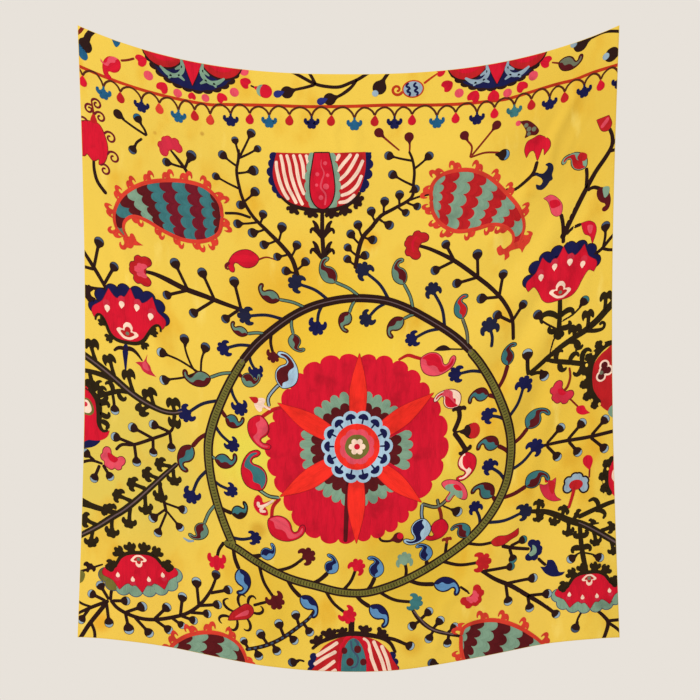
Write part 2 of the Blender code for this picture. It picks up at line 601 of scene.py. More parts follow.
BUD = [(-0.1, -0.20), (0.16, -0.26), (0.20, -0.50), (-0.02, -0.76), (0.06, -1.00), (0.46, -1.12),
       (0.84, -0.88), (0.98, -0.44), (0.86, -0.06), (1.04, 0.28), (0.98, 0.72), (0.66, 1.04), (0.22, 1.04),
       (0.0, 0.86), (0.20, 0.66), (0.24, 0.32), (-0.1, 0.20)]
CURLS = [(0, -0.46), (0.34, -0.60), (0.56, -0.92), (0.86, -0.90), (0.98, -0.58), (0.84, -0.26),
         (1.04, 0.04), (1.02, 0.40), (0.74, 0.52), (0.84, 0.84), (0.56, 1.02), (0.30, 0.84), (0.22, 0.56),
         (0, 0.46)]
CREST = [(-0.1, -0.26), (0.26, -0.26), (0.40, -0.54), (0.30, -0.88), (0.62, -1.04), (0.96, -0.74),
         (0.94, -0.28), (1.08, 0.04), (0.98, 0.34), (1.02, 0.74), (0.66, 1.04), (0.32, 0.90), (0.44, 0.54),
         (0.28, 0.26), (-0.1, 0.26)]
FLAME = [(-0.1, -0.46), (0.16, -0.50), (0.28, -0.78), (0.14, -1.10), (0.02, -1.36, 1), (0.44, -1.26),
         (0.74, -0.92), (0.84, -0.46), (0.80, -0.10), (1.02, 0.18), (1.12, 0.60), (1.04, 1.02),
         (0.72, 1.22), (0.42, 1.14), (0.34, 0.94), (0.56, 0.90), (0.68, 0.68), (0.56, 0.42), (0.26, 0.36),
         (-0.1, 0.50)]
# A bell of three lobes whose two ends curl back
BELL = [(-0.6, -0.20), (-0.28, -0.34), (-0.30, -0.62), (-0.56, -0.78), (-0.44, -1.06), (0.02, -1.16),
        (0.40, -0.98), (0.56, -0.70), (0.84, -0.66), (1.02, -0.38), (0.96, 0), (1.02, 0.38), (0.84, 0.66),
        (0.56, 0.70), (0.40, 0.98), (0.02, 1.16), (-0.44, 1.06), (-0.56, 0.78), (-0.30, 0.62),
        (-0.28, 0.34), (-0.6, 0.20)]
BERRY = [(-1.55, 0.14), (-1.0, 0.40), (-0.52, 0.84), (0.05, 1.0), (0.68, 0.78), (1.0, 0.26), (1.0, -0.26),
         (0.68, -0.78), (0.05, -1.0), (-0.52, -0.84), (-1.0, -0.40), (-1.55, -0.14)]
CAP = [(0.22, 0.84), (0.66, 0.66), (0.92, 0.22), (0.92, -0.22), (0.66, -0.66), (0.22, -0.84), (0.40, -0.42),
       (0.46, 0), (0.40, 0.42)]
DROP = [(-1.25, 0, 1), (-0.7, 0.5), (0.0, 0.92), (0.7, 0.74), (1.0, 0), (0.7, -0.74), (0.0, -0.92),
        (-0.7, -0.5)]
HEART = [(-1.0, 0), (-0.5, 0.75), (0.3, 1.0), (0.85, 0.6), (0.62, 0), (0.85, -0.6), (0.3, -1.0),
         (-0.5, -0.75)]
MUSHROOM = [(-1.0, 0.14), (-0.25, 0.20), (-0.28, 0.62), (-0.10, 1.0), (0.34, 0.86), (0.70, 0.42), (0.80, 0),
            (0.70, -0.42), (0.34, -0.86), (-0.10, -1.0), (-0.28, -0.62), (-0.25, -0.20), (-1.0, -0.14)]
CARNATION_HALF = [(-0.30, 0), (-0.36, 0.30), (-0.58, 0.46), (-0.72, 0.68), (-0.60, 0.96), (-0.28, 1.04),
                  (0.02, 0.94), (0.26, 1.0), (0.50, 0.80), (0.52, 0.50), (0.76, 0.36), (0.84, 0.12),
                  (0.80, 0)]
PALMETTE_HALF = [(0, 0), (0.01, 0.22), (0.09, 0.34), (0.23, 0.42), (0.34, 0.49), (0.40, 0.56),
                 (0.34, 0.66, 1), (0.44, 0.71), (0.53, 0.69), (0.60, 0.60), (0.66, 0.53), (0.74, 0.49),
                 (0.91, 0.42, 1), (0.80, 0.32), (0.76, 0.24), (0.82, 0.18), (0.82, 0.10), (1.0, 0, 1)]
# The round lobes behind a palmette: distance up, distance to the side and radius, in lengths of the flower
HALO = ((0.53, 0.65, 0.125), (0.755, 0.54, 0.13), (0.88, 0.35, 0.125), (0.935, 0.125, 0.12))


def mirrored(half):
    """A whole outline from its right half, foot first."""
    return half + [(p[0], -p[1]) + tuple(p[2:]) for p in half[-2:0:-1]]


def toward(at, angle, size):
    """The point at that distance, the angle in degrees clockwise from straight up."""
    turn = math.radians(angle)
    return at[0] + size * math.sin(turn), at[1] - size * math.cos(turn)


def heading(at, to):
    return math.degrees(math.atan2(to[1] - at[1], to[0] - at[0]))


def edged(piece, outline, thread, edge, rim=0.12, level=0):
    """A filled outline with a thin edge in another thread."""
    piece.patch(grow(curve(outline, True), rim), edge, level)
    piece.fill(outline, thread, level + 1)


def leaf(piece, base, tip, outer, inner, width=1.0, edge="bark", level=0):
    """A comma-shaped leaf in two colours with a thin dark edge. A negative width hooks to the left."""
    ring = curve(place(LEAF, base, tip, width), True)
    grain = heading(base, tip)
    piece.patch(grow(ring, 0.20), edge, level, grain)
    piece.patch(ring, outer, level + 1, grain)
    piece.fill(place(LEAF_INNER, base, tip, width), inner, level + 2, grain)


def stem(piece, points, width=0.9, thread="bark", core=None, level=0):
    piece.stroke(points, width, thread, level)
    if core:
        piece.stroke(points, np.asarray(width) * 0.45, core, level + 1)


def clover(piece, centre, foot, thread, size=2.1, level=1):
    """A flower of round lobes with two sepals that curl back to its foot."""
    way = heading(foot, centre) + 90
    piece.fill(place(mirrored(CLOVER_HALF), centre, toward(centre, way, size), 0.94), thread, level,
               way - 90, 0.25)


def berry(piece, centre, foot, radius=1.15, body="bark", cap="slate", level=1):
    way = heading(foot, centre) + 90
    end = toward(centre, way, radius)
    piece.fill(place(BERRY, centre, end), body, level, way - 90, 0.25)
    if cap:
        piece.fill(place(CAP, centre, end), cap, level + 1, way, 0.25)


def branch(piece, spine, berries, width=0.85, radius=1.15, body="bark", cap="slate", thread="bark",
           lean=0.55):
    """A stem whose last point is its root, with a twig to each berry: (a, b) or (a, b, radius)."""
    piece.stroke(spine, width, thread, 0)
    line = curve(spine, False, 0.3)
    for fruit in berries:
        at = np.array(fruit[:2], float)
        size = fruit[2] if len(fruit) > 2 else radius
        gap = np.linalg.norm(line - at, axis=1)
        nearest = int(np.argmin(gap))
        join = line[min(len(line) - 1, nearest + int(lean * gap[nearest] / 0.3))]
        bend = (at + join) / 2 + (line[min(len(line) - 1, nearest + 3)] - line[nearest]) * 0.12
        piece.stroke([tuple(join), tuple(bend), tuple(at)], (0.62, 0.5), thread, 0)
        berry(piece, tuple(at), tuple(bend), size, body, cap)


def crest(piece, at, tip, thread, level=1, width=1.0, drawing=CREST):
    piece.fill(place(drawing, at, tip, width), thread, level, heading(at, tip), 0.25)


def hook(piece, root, angle, size, turn=1, width=0.9, thread="bark", level=1):
    """A stalk that curls over at its end, to the right for turn 1 and to the left for turn -1."""
    path = [(0, 0), (0.42, -0.08), (0.80, 0.0), (1.0, 0.24), (0.92, 0.50), (0.76, 0.60)]
    line = place(path, root, toward(root, angle, size), turn)
    piece.stroke(line, (0.9 * width, 1.2 * width, 1.4 * width, 1.3 * width, 0.9 * width, 0.4 * width),
                 thread, level)


def curl(piece, at, angle, size, thread, turn=1, width=0.42, level=0):
    """A tendril that leaves a stem and winds up into a spiral."""
    points = []
    for k in range(13):
        share = k / 12
        reach = size * (1 - 0.80 * share)
        way = math.radians(angle) + turn * (share * 2 * math.pi * 1.25)
        points.append((reach * math.cos(way), reach * math.sin(way)))
    points = np.array(points) - points[0] + np.array(at)
    piece.stroke([tuple(p) for p in points], (width, width * 0.8), thread, level)


def lobed_band(piece, points, start_width, depth, count, thread, level, step=0.2):
    """A band along a curve whose left side is a row of lobes."""
    line = curve(points, False, step)
    along = np.gradient(line, axis=0)
    along /= np.linalg.norm(along, axis=1, keepdims=True)
    side = np.stack((along[:, 1], -along[:, 0]), axis=1)
    share = np.linspace(0, 1, len(line))
    bump = np.abs(np.sin(np.pi * count * share)) ** 0.55
    outer = line + side * (start_width + depth * bump)[:, None]
    middle = line + side * ((start_width + depth * bump) * 0.5)[:, None]
    near = line + side * 0.02
    piece.grid([near, near + (middle - near) * 0.15, middle, outer - (outer - middle) * 0.15, outer],
               thread, level)


def fan(centre, middle, half_angle, inner, outer, depth, lobes):
    """The outline of a shell round a centre, its outer edge in lobes."""
    points = []
    count = lobes * 7
    for k in range(count + 1):
        share = k / count
        reach = outer + depth * abs(math.sin(math.pi * lobes * share)) ** 0.6
        points.append(toward(centre, middle - half_angle + 2 * half_angle * share, reach))
    back = [toward(centre, middle + half_angle * (0.86 - 0.43 * k), inner) for k in range(5)]
    return np.array(points + back)


def disc(centre, radius, depth=0.0, lobes=0, turn=0.0, squeeze=1.0):
    points = []
    count = max(28, lobes * 10)
    for k in range(count):
        share = k / count
        reach = radius + (depth * abs(math.sin(math.pi * lobes * share)) ** 0.7 if lobes else 0.0)
        at = toward((0, 0), 360 * share + turn, reach)
        points.append((centre[0] + at[0], centre[1] + at[1] * squeeze))
    return np.array(points)


def at_shares(points, count):
    """A smooth line as a set number of points."""
    dense = curve(points, False, 0.3)
    length = np.concatenate(([0], np.cumsum(np.linalg.norm(np.diff(dense, axis=0), axis=1))))
    at = np.linspace(0, length[-1], count)
    return np.stack([np.interp(at, length, dense[:, axis]) for axis in (0, 1)], axis=1)


def paisley(piece, upper, lower, bands, threads, rows_of_lobes, crests):
    """A paisley between two edges, both drawn from the blunt end to the tip, in bands with lobed borders."""
    count = 80
    top, low = at_shares(upper, count), at_shares(lower, count)
    shares = np.linspace(0, 1, count)
    across = np.linspace(0, 1, 10 * rows_of_lobes + 1)

    def point(t, w):
        t = np.clip(t, 0.0, 1.0)
        ends = [np.stack([np.interp(t, shares, edge[:, k]) for k in (0, 1)], axis=1) for edge in (top, low)]
        return ends[0] * (1 - w)[:, None] + ends[1] * w[:, None]

    ring = np.vstack((top, low[-2:0:-1]))
    piece.patch(grow(ring, 0.30), "coral", 0)
    borders = [np.zeros(len(across))]
    for k in range(1, bands):
        end = int(round(k / bands * (count - 1)))
        count_here = max(1, min(rows_of_lobes, round(math.dist(top[end], low[end]) / 2.4)))
        bump = np.abs(np.sin(np.pi * count_here * across)) ** 0.6 - 0.5
        borders.append(k / bands + 0.40 / bands * bump)
    borders.append(np.ones(len(across)))
    for k in range(bands):
        first, last = borders[k] - (0.003 if k else 0), borders[k + 1]
        rows = [point(first + (last - first) * f, across) for f in (0, 0.06, 0.3, 0.5, 0.7, 0.94, 1)]
        piece.grid(rows, threads[k % len(threads)], 1)
    for edge in (upper, lower):
        piece.stroke(edge, (0.9, 1.0, 1.0, 0.9, 0.6), "coral", 3)
    middle = (top + low) / 2
    for edge, share, size, width in crests:
        line = top if edge == 0 else low
        k = min(count - 2, int(share * count))
        along = line[min(k + 1, count - 1)] - line[max(k - 1, 0)]
        side = np.array((-along[1], along[0])) / np.linalg.norm(along)
        if np.dot(side, line[k] - middle[k]) < 0:
            side = -side
        crest(piece, tuple(line[k]), tuple(line[k] + side * size * 0.86), "coral", 2, width * 0.74, FLAME)


def palmette(piece, foot, tip, halo, width=1.0, calyx=True, hooks=1.0, slant=0.0, lobe=1.0):
    """A lotus palmette, from the bottom of its bowl to its middle. halo has a thread per pair of lobes."""
    size = math.dist(foot, tip)
    way = heading(foot, tip) + 90

    def at(u, v):
        return place([(u, v)], foot, tip, width, slant)[0]

    for edge, level in ((0.22, 0), (0.0, 1)):
        for side in (-1, 1):
            for k, (u, v, radius) in enumerate(HALO):
                thread = halo[0 if side < 0 else -1] if k < 2 else halo[len(halo) // 2]
                dark = "bark" if thread in ("navy", "ink") else "slate"
                piece.patch(disc(at(u, v * side), radius * lobe * size + edge, 0, 0, 0, 0.94),
                            dark if edge else thread, level)
    filler = [(0.40, 0.50), (0.60, 0.54), (0.76, 0.40), (0.86, 0.22), (0.88, 0.0)]
    piece.patch(np.array(place(filler + [(u, -v) for u, v in filler[-2::-1]], foot, tip, width, slant)),
                halo[len(halo) // 2], 1)
    body = curve(place(mirrored(PALMETTE_HALF), foot, tip, width, slant), True)
    piece.patch(grow(body, 0.12), "wine", 2)
    piece.patch(body, "crimson", 3)
    for u, v in ((0.66, 0.15), (0.66, -0.15), (0.54, 0.42), (0.54, -0.42)):
        spot = at(u, v)
        piece.patch(disc(at(u + 0.09, v * 1.05), 0.062 * size + 0.1), "rose", 4)
        piece.fill(place(DROP, spot, toward(spot, way + 8 * v, 0.062 * size), 0.9), "cream", 5, way, 0.2)
    heart, top = at(0.14, 0), at(0.14 + 0.20 * min(1.0, 14 / size), 0)
    piece.fill(place(mirrored(TREFOIL), heart, top, 1.05), "cream", 4, way, 0.2)
    inner_top = tuple(np.array(heart) + 0.60 * np.subtract(top, heart))
    piece.fill(place(mirrored(TREFOIL), heart, inner_top, 1.1), "red", 5, way, 0.2)
    piece.patch(disc(heart, 0.45), "grey", 6)
    if calyx:
        half = [(0.28, 0.63), (0.36, 0.62), (0.40, 0.56), (0.34, 0.48), (0.22, 0.41), (0.08, 0.33),
                (-0.01, 0.20)]
        line = [(u, -v) for u, v in half] + [(-0.03, 0)] + half[::-1]
        piece.stroke(place(line, foot, tip, width, slant), (0.5, 0.8, 0.9, 0.9, 0.9, 0.8, 0.5), "pine", 4)
        for side in (1, -1):
            for u, v, lean in ((0.24, 0.43, 70), (0.03, 0.28, 125),
                               (-0.03, 0.10, 160))[:3 if hooks > 1 else 2]:
                root = at(u, v * side)
                crest(piece, root, toward(root, way + side * lean, 2.0 * hooks), "pine", 4, 0.62 * side,
                      CURLS)


def carnation(piece, centre, foot, size, colour="crimson", light="pink", edge=None, level=1, rim=0.20):
    """A half-open flower: a crescent with a ruffled edge."""
    way = heading(foot, centre) + 90
    ring = curve(place(mirrored(CARNATION_HALF), centre, toward(centre, way, size)), True, 0.25)
    if edge:
        piece.patch(grow(ring, rim), edge, level, way - 90)
    piece.patch(ring, colour, level + 1, way - 90)
    if light:
        piece.fill(place(mirrored(CARNATION_HALF), centre, toward(centre, way, size * 0.62), 0.8), light,
                   level + 2, way - 90)


def foliage(piece, spine, buds, width=1.3, thread="bark", light="mauve", size=2.7, round_buds=False):
    """A thick stem with a pale midline and lobed buds: bud centre, then where it leaves the stem."""
    width = np.asarray(width) * 1.25
    piece.stroke(spine, width, thread, 0)
    if light:
        piece.stroke(spine, width * 0.22, light, 2)
    for k, (a, b, root_a, root_b) in enumerate(buds):
        base = (root_a + (a - root_a) * 0.35, root_b + (b - root_b) * 0.35)
        way = heading((root_a, root_b), (a, b)) + 90
        piece.stroke([(root_a, root_b), base, (a, b)], (1.3, 0.95, 1.1), thread, 0)
        if round_buds:
            piece.fill(place(BELL, (a, b), toward((a, b), way + (14, -16, 4)[k % 3], 0.60 * size), 1.05),
                       thread, 1, way, 0.25)
            continue
        foot = toward((a, b), way + 180, size * 0.46)
        tip = toward(foot, way + (16, -12, 6, -18)[k % 4], size * 0.96)
        crest(piece, foot, tip, thread, 1, (0.66, -0.60, 0.62, -0.68)[k % 4], BUD)


TREFOIL = [(-0.55, 0), (-0.50, 0.35), (-0.20, 0.75), (0.10, 1.0), (0.34, 0.78), (0.34, 0.42), (0.66, 0.42),
           (0.98, 0.22), (1.04, 0)]


def draw_border():
    piece = Piece("border_line_and_garland")
    line = [(-69, 10.0), (-55, 10.4), (-45, 10.4), (-35, 10.2), (-30, 9.4), (-20, 8.5), (-10, 8.3),
            (0, 8.1), (10, 7.9), (18, 8.3), (28, 9.0), (35, 9.4), (40, 9.7), (46, 9.3), (52, 9.1),
            (57, 9.4), (62, 9.2), (69, 9.8)]
    piece.stroke(line, 0.8, "brick", 0)
    # a node of the garland: a, b, and what hangs there
    nodes = [(-72, 12.6, ""), (-67, 12, "crimson"), (-61.8, 12.8, "petrol"), (-57.5, 12.7, "red"),
             (-52.2, 13, "navy"), (-47.7, 12.6, "coral"), (-42.9, 13.2, "petrol"), (-38.8, 12.3, "red"),
             (-34.9, 12.6, "coral"), (-29.7, 11.7, "navy"), (-24.9, 11, "crimson"), (-20, 11, "petrol"),
             (-14.9, 10.5, "red"), (-9.3, 10.7, "navy"), (-4.4, 10.3, "red"), (1.5, 11, "petrol"),
             (6.6, 10.4, "red"), (11.6, 10.8, "navy"), (16, 10.5, "crimson"), (22.3, 11.3, "petrol"),
             (27, 11, "crimson"), (32.4, 11.7, "navy"), (36.8, 11.3, "crimson"), (41.8, 11.6, "teal"),
             (46.1, 11.2, "red"), (50.7, 11.9, "navy"), (54.5, 11.7, "red"), (59.4, 11.5, "navy"),
             (63.6, 11.7, "crimson"), (68.3, 12.4, "navy"), (72, 12, "")]
    for (a1, b1, _), (a2, b2, _) in zip(nodes, nodes[1:]):
        top = min(b1, b2) - 1.9
        quarter = (a2 - a1) / 4
        arc = [(a1, b1), (a1 + 0.55 * quarter, (b1 + top) / 2 - 0.2), (a1 + 1.6 * quarter, top),
               (a2 - 1.4 * quarter, top + 0.1), (a2 - 0.5 * quarter, (b2 + top) / 2 - 0.1), (a2, b2)]
        piece.stroke(arc, 0.5, "umber", 1)
    for k, (a, b, thread) in enumerate(nodes):
        if thread in ("petrol", "navy", "teal"):
            piece.stroke([(a, b - 0.2), (a, b + 1.4)], (0.6, 0.5), thread, 1)
            piece.patch(disc((a, b + 1.9), 1.05, 0.35, 5, 36), thread, 2)
            for side in (-1, 1):
                piece.stroke([(a + 0.4 * side, b + 1.8), (a + 1.2 * side, b + 1.7),
                              (a + 1.65 * side, b + 1.1), (a + 1.3 * side, b + 0.6)], (1.2, 1.0, 0.6),
                             thread, 2)
        elif thread:
            tip = (a + 0.15 * math.sin(3 * k), b + 2.75)
            piece.fill(place(DROP, (a, b + 1.5), tip, 0.88), thread, 2, 90, 0.2)


def half_rosette(piece, middle, depth, width, scroll):
    """A flower of the border that the top edge cuts: dark rim, navy ground, red petals."""
    squeeze = (depth + 1.0) / width
    centre = (middle, -1.0)
    piece.patch(disc(centre, width - 0.2, 0.7, 28, 0, squeeze), "bark", 0)
    piece.patch(disc(centre, width - 1.0, 0.3, 20, 0, squeeze), "navy", 1)
    for side in (-1, 1):
        piece.patch(disc((middle + side * width * 0.62, -1.0), width * 0.44, 0, 0, 0, 0.86), "bark", 2)
        piece.patch(disc((middle + side * width * 0.62, -1.2), width * 0.42, 0, 0, 0, 0.84), "red", 3)
        piece.patch(disc((middle + side * width * 0.62, -1.4), width * 0.30, 0, 0, 0, 0.80), "crimson", 4)
        vine = [(0.68, 3.0), (0.52, 4.4), (0.36, 4.6), (0.22, 3.2), (0.20, 0.6), (0.24, -1)]
        piece.stroke([(middle + side * u * width, v * depth / 7.8) for u, v in vine],
                     (0.5, 1.2, 1.0, 1.2, 0.8), scroll, 4)
        for at, to in (((0.44, 4.6), (0.50, 5.7)), ((0.30, 4.2), (0.16, 5.4)), ((0.21, 1.8), (0.36, 3.0))):
            ends = [(middle + side * u * width, v * depth / 7.8) for u, v in (at, to)]
            piece.stroke(ends, (1.1, 0.4), scroll, 4)
    spear = [(middle - 2.2, -1), (middle - 1.6, 2), (middle, depth * 0.80, 1), (middle + 1.7, 2),
             (middle + 2.2, -1)]
    piece.patch(grow(curve(spear, True), 0.2), "bark", 4)
    piece.fill(spear, "crimson", 5, 90)


def draw_top_flowers():
    piece = Piece("top_flowers")
    half_rosette(piece, -39.2, 7.7, 12.0, "sage")
    half_rosette(piece, 37.3, 6.7, 11.9, "mist")
    # small hearts and round drops round the two flowers: a, b, radius, thread
    beads = [(-52, 3, 1.5, "crimson"), (-50.3, 6.3, 1.2, "pink"), (-46.8, 8.4, 1.5, "crimson"),
             (-43, 8.9, 1.1, "pink"), (-39.4, 8.9, 1.0, "crimson"), (-36, 8.7, 1.0, "pink"),
             (-31.9, 8.0, 1.35, "crimson"), (-28.7, 6.1, 1.15, "pink"), (-25.9, 3.4, 1.4, "crimson"),
             (-26.2, 0.4, 1.2, "pink"), (24.8, 4.0, 1.5, "crimson"), (27.8, 6.2, 1.15, "pink"),
             (31.5, 7.6, 1.6, "crimson"), (36.5, 8.3, 1.5, "crimson"), (40, 8.2, 1.1, "pink"),
             (43.6, 7.4, 1.45, "crimson"), (46.4, 5.3, 1.2, "pink"), (49.5, 2.6, 1.5, "crimson"),
             (23.1, 0.3, 1.2, "crimson")]
    for a, b, radius, thread in beads:
        middle = -39.2 if a < 0 else 37.3
        at = (a, b)
        if thread == "pink":
            piece.patch(disc(at, radius), thread, 1)
            continue
        way = heading((middle, -3), at) + 90
        piece.fill(place(HEART, at, toward(at, way, radius)), thread, 1, way - 90, 0.2)
    stem(piece, [(-57.2, 4.7), (-55.5, 4.0), (-53.7, 3.0)], 0.55, "rust")
    leaf(piece, (-57.6, 4.9), (-62.0, 8.8), "crimson", "crimson", -1.0, "red")
    piece.fill(place(LEAF_INNER, (-57.8, 4.5), (-61.6, 7.6), 0.9), "pink", 3, 30)
    stem(piece, [(-63.6, -1), (-65.2, 1.4), (-65.8, 3.2)], (1.7, 1.4, 1.8))
    stem(piece, [(-66, -1), (-67.5, 1.5), (-69.5, 3)], 0.8, "rust")
    berry(piece, (-66.1, 4.2), (-65.3, 0), 1.75, "bark", None)
    piece.fill(place(DROP, (-66.9, 6.3), (-66.2, 8.0), 0.7), "petrol", 1)
    piece.fill([(-59.2, -0.5), (-57.2, -0.5), (-57.4, 0.8), (-58.3, 1.7), (-59.0, 0.7)], "petrol", 1)
    berry(piece, (-21.0, 5.0), (-24.6, 4.0), 1.75, "crimson", None)
    piece.fill(place(CAP, (-21.4, 5.0), (-23.2, 4.7)), "sage", 2)
    stem(piece, [(-24.6, 3.9), (-22.8, 4.6)], 0.45)
    stem(piece, [(-14.5, -0.6), (-11.5, 1.0), (-8.2, 2.6), (-5, 3.2), (-2.2, 3.2), (0.2, 2.3), (2.6, 1.2),
                 (5.4, -0.6)], 0.85)
    stem(piece, [(-8.4, 2.7), (-10.5, 3.4), (-13.6, 4.2)], (0.8, 0.7))
    stem(piece, [(-10, -0.6), (-8.9, 1.4), (-8.2, 2.7)], 0.8)
    stem(piece, [(2.2, 1.4), (0.6, 3.4), (-1.5, 5.0), (-3.4, 6.0)], (0.6, 0.9, 0.7))
    for at, foot, tip in (((-15.4, 4.9), (-13, 4.0), (-17.6, 5.4)), ((-4.7, 6.3), (-2.5, 5.6),
                                                                     (-6.7, 6.8))):
        berry(piece, at, foot, 1.55, "bark", None)
        piece.fill(place(DROP, tip, (tip[0] - 1.2, tip[1] + 0.5), 0.75), "cobalt", 2, 0, 0.2)
    berry(piece, (7.8, 3.4), (9.4, 0.4), 1.75, "bark", None)
    stem(piece, [(10.2, -0.6), (8.6, 1.8)], 0.9)
    piece.patch(disc((6.7, 4.9), 0.8), "mist", 2)
    stem(piece, [(22.4, 0.6), (20.5, 1.8), (18.9, 2.9)], (0.4, 0.6), "brick")
    piece.patch(disc((16.2, 4.1), 2.75, 0, 0, 0, 0.82), "brick", 1)
    piece.patch(disc((16.2, 4.1), 2.4, 0, 0, 0, 0.80), "mist", 2)
    for a in (14.7, 16.6):
        piece.stroke([(a + 0.4, 2.5), (a - 0.2, 3.3), (a + 0.7, 3.9), (a, 4.6), (a + 0.8, 5.1),
                      (a + 0.5, 5.9)], 0.55, "navy", 3)
    curl(piece, (13.6, 4.6), 20, 1.5, "brick", 1, 0.7, 1)
    leaf(piece, (52.9, 3.8), (58.0, 6.0), "maroon", "grey", -1.0, "bark")
    stem(piece, [(51, 3.2), (53, 4.0)], (0.35, 0.5), "rust")
    for at, foot, cap in (((58.2, 1.0), (61, 0.3), (56.4, 0.3)), ((66.2, 6.5), (68.5, 6.9), (64.7, 6.4))):
        berry(piece, at, foot, 1.75, "bark", None)
        piece.patch(disc(cap, 0.85), "mist", 2)
    stem(piece, [(58.5, 0.8), (61, 0.3), (64.5, 0.2), (69, 2.0)], 0.7)


def draw_upper_branches():
    piece = Piece("upper_branches")
    branch(piece, [(-27.8, 20.4), (-27.9, 23), (-28.4, 26), (-27.9, 29.5), (-26.8, 33.2), (-24.4, 37),
                   (-20.8, 40.3), (-17, 43.8), (-14.4, 47), (-12.9, 51.5)],
           [(-24.6, 16), (-28.7, 18.3, 0.95), (-23, 19.8, 0.95), (-31.9, 22.5), (-24.1, 25.4, 1.3),
            (-33.7, 28.2, 1.0), (-23.8, 30.7, 1.2), (-27.5, 34.5, 1.15), (-21.8, 36.2, 1.1),
            (-17, 39, 1.25), (-28.3, 39.4, 1.15), (-24.5, 41.2, 1.25), (-21.6, 43.9), (-13.2, 43.3),
            (-18.2, 46.6, 1.05), (-11, 47.4), (-16, 50)],
           (0.7, 0.8, 0.9, 1.15, 1.2))
    stem(piece, [(-31.6, 37.2), (-28.2, 36.8), (-24.9, 37.4)], 0.7)
    branch(piece, [(15.3, 19.8), (16.2, 22), (16.7, 25), (16.5, 28), (16.0, 31.5), (11.6, 34.0),
                   (8.3, 35.7), (6.0, 38.4), (3.7, 41), (2.6, 44.2), (1.7, 49)],
           [(10.2, 20.7), (20.4, 21.4), (11.2, 25.5), (17, 29.4, 1.1), (13, 30.6), (9.2, 32.1), (5.8, 34.5),
            (17.5, 33.8, 1.0), (14.6, 35.2, 1.0), (10.4, 38.1, 1.2), (2.4, 37.9), (0.6, 40.2), (6.2, 41.7),
            (-0.2, 43.6, 1.05), (4.2, 45.6), (-0.3, 46.5, 1.05)],
           (0.6, 0.8, 0.9, 1.15, 1.1))
    stem(piece, [(20.9, 31), (18, 31.4), (15.6, 32.1)], 0.55)
    for at, foot, root in (((7.7, 14.8), (9.6, 16.6), (12.9, 19.5)), ((15.3, 16.2), (15.5, 18.5),
                                                                      (15.4, 20.3))):
        stem(piece, [root, foot, at], (0.4, 0.6), "rust")
        berry(piece, at, foot, 1.2, "maroon", None)
    for at, path in (((29.3, 17.2), [(30.8, 23), (31.2, 20.4), (29.9, 18.4)]),
                     ((37.4, 15.9), [(31.2, 22.6), (34, 19.6), (36.6, 16.8)])):
        stem(piece, path, 0.5, "rust")
        berry(piece, at, path[1], 1.15, "maroon", None)
    stem(piece, [(30.8, 23.0), (34.5, 22.4), (38.2, 23.0)], 0.5, "rust")
    berry(piece, (39.4, 23.8), (36, 23), 1.45, "bark", "blue")
    for path, at, radius, cap in (([(-51.1, 21.8), (-54.5, 20.5), (-57.3, 19.3)], (-58.3, 18.5), 1.2, None),
                                  ([(-51.1, 21.8), (-51.6, 20.4), (-52.7, 19.0)], (-53.3, 18.0), 1.15,
                                   "petrol"),
                                  ([(-52.3, 22.8), (-53.7, 24.2), (-54.3, 25.6)], (-54.8, 26.4), 1.1,
                                   "slate")):
        stem(piece, path, 0.62)
        berry(piece, at, path[1], radius, "bark", cap)
    stem(piece, [(-40.7, 29.2), (-41.5, 27.9), (-43.3, 25.8), (-45.2, 23.8)], (0.8, 0.9, 0.5))
    stem(piece, [(-41.6, 27.6), (-43.5, 27.5), (-45.5, 27.3)], 0.6)
    stem(piece, [(-41.5, 27.6), (-41, 26.2), (-40.6, 24.9)], 0.7)
    berry(piece, (-46.2, 27.2), (-43, 27.5), 1.1)
    berry(piece, (-39.9, 24.1), (-41, 27), 1.35)
    carnation(piece, (-45.4, 22.9), (-43.8, 26.3), 2.8, "rose", "", "red")
    # the curled fruit at the left edge
    body = [(-66.0, 22.8), (-63.2, 22.8), (-61.6, 26), (-61.3, 29), (-62.2, 31.8), (-63.5, 32.7, 1),
            (-63.5, 31.3), (-65.0, 32.2), (-66.5, 31.0), (-67.5, 31.8), (-70, 31), (-70, 24), (-67.6, 23.4)]
    edged(piece, body, "crimson", "rust", 0.22)
    piece.fill([(-65.4, 22.6), (-64.9, 20.8), (-64.3, 20.8), (-63.7, 22.6)], "red", 2, 90, 0.2)
    stem(piece, [(-64.9, 31.8), (-64.8, 34.5), (-64.0, 37.2), (-61.8, 39.6)], (0.7, 0.9, 1.0))
    stem(piece, [(-64.4, 21.4), (-64.7, 19.5), (-65.0, 17.2)], (0.7, 0.4), "rust")
    for at, angle, size, turn in (((-65.0, 17.4), 200, 1.35, 1), ((-65.0, 18.6), -60, 1.25, -1),
                                  ((-64.3, 20.6), 190, 1.45, 1), ((-66.0, 23.2), -20, 1.6, -1),
                                  ((-62.0, 24.6), 200, 1.6, 1), ((-61.4, 29.6), 190, 1.65, 1),
                                  ((-63.3, 32.8), 215, 1.5, 1)):
        curl(piece, at, angle, size, "wine", turn, 0.55, 1)


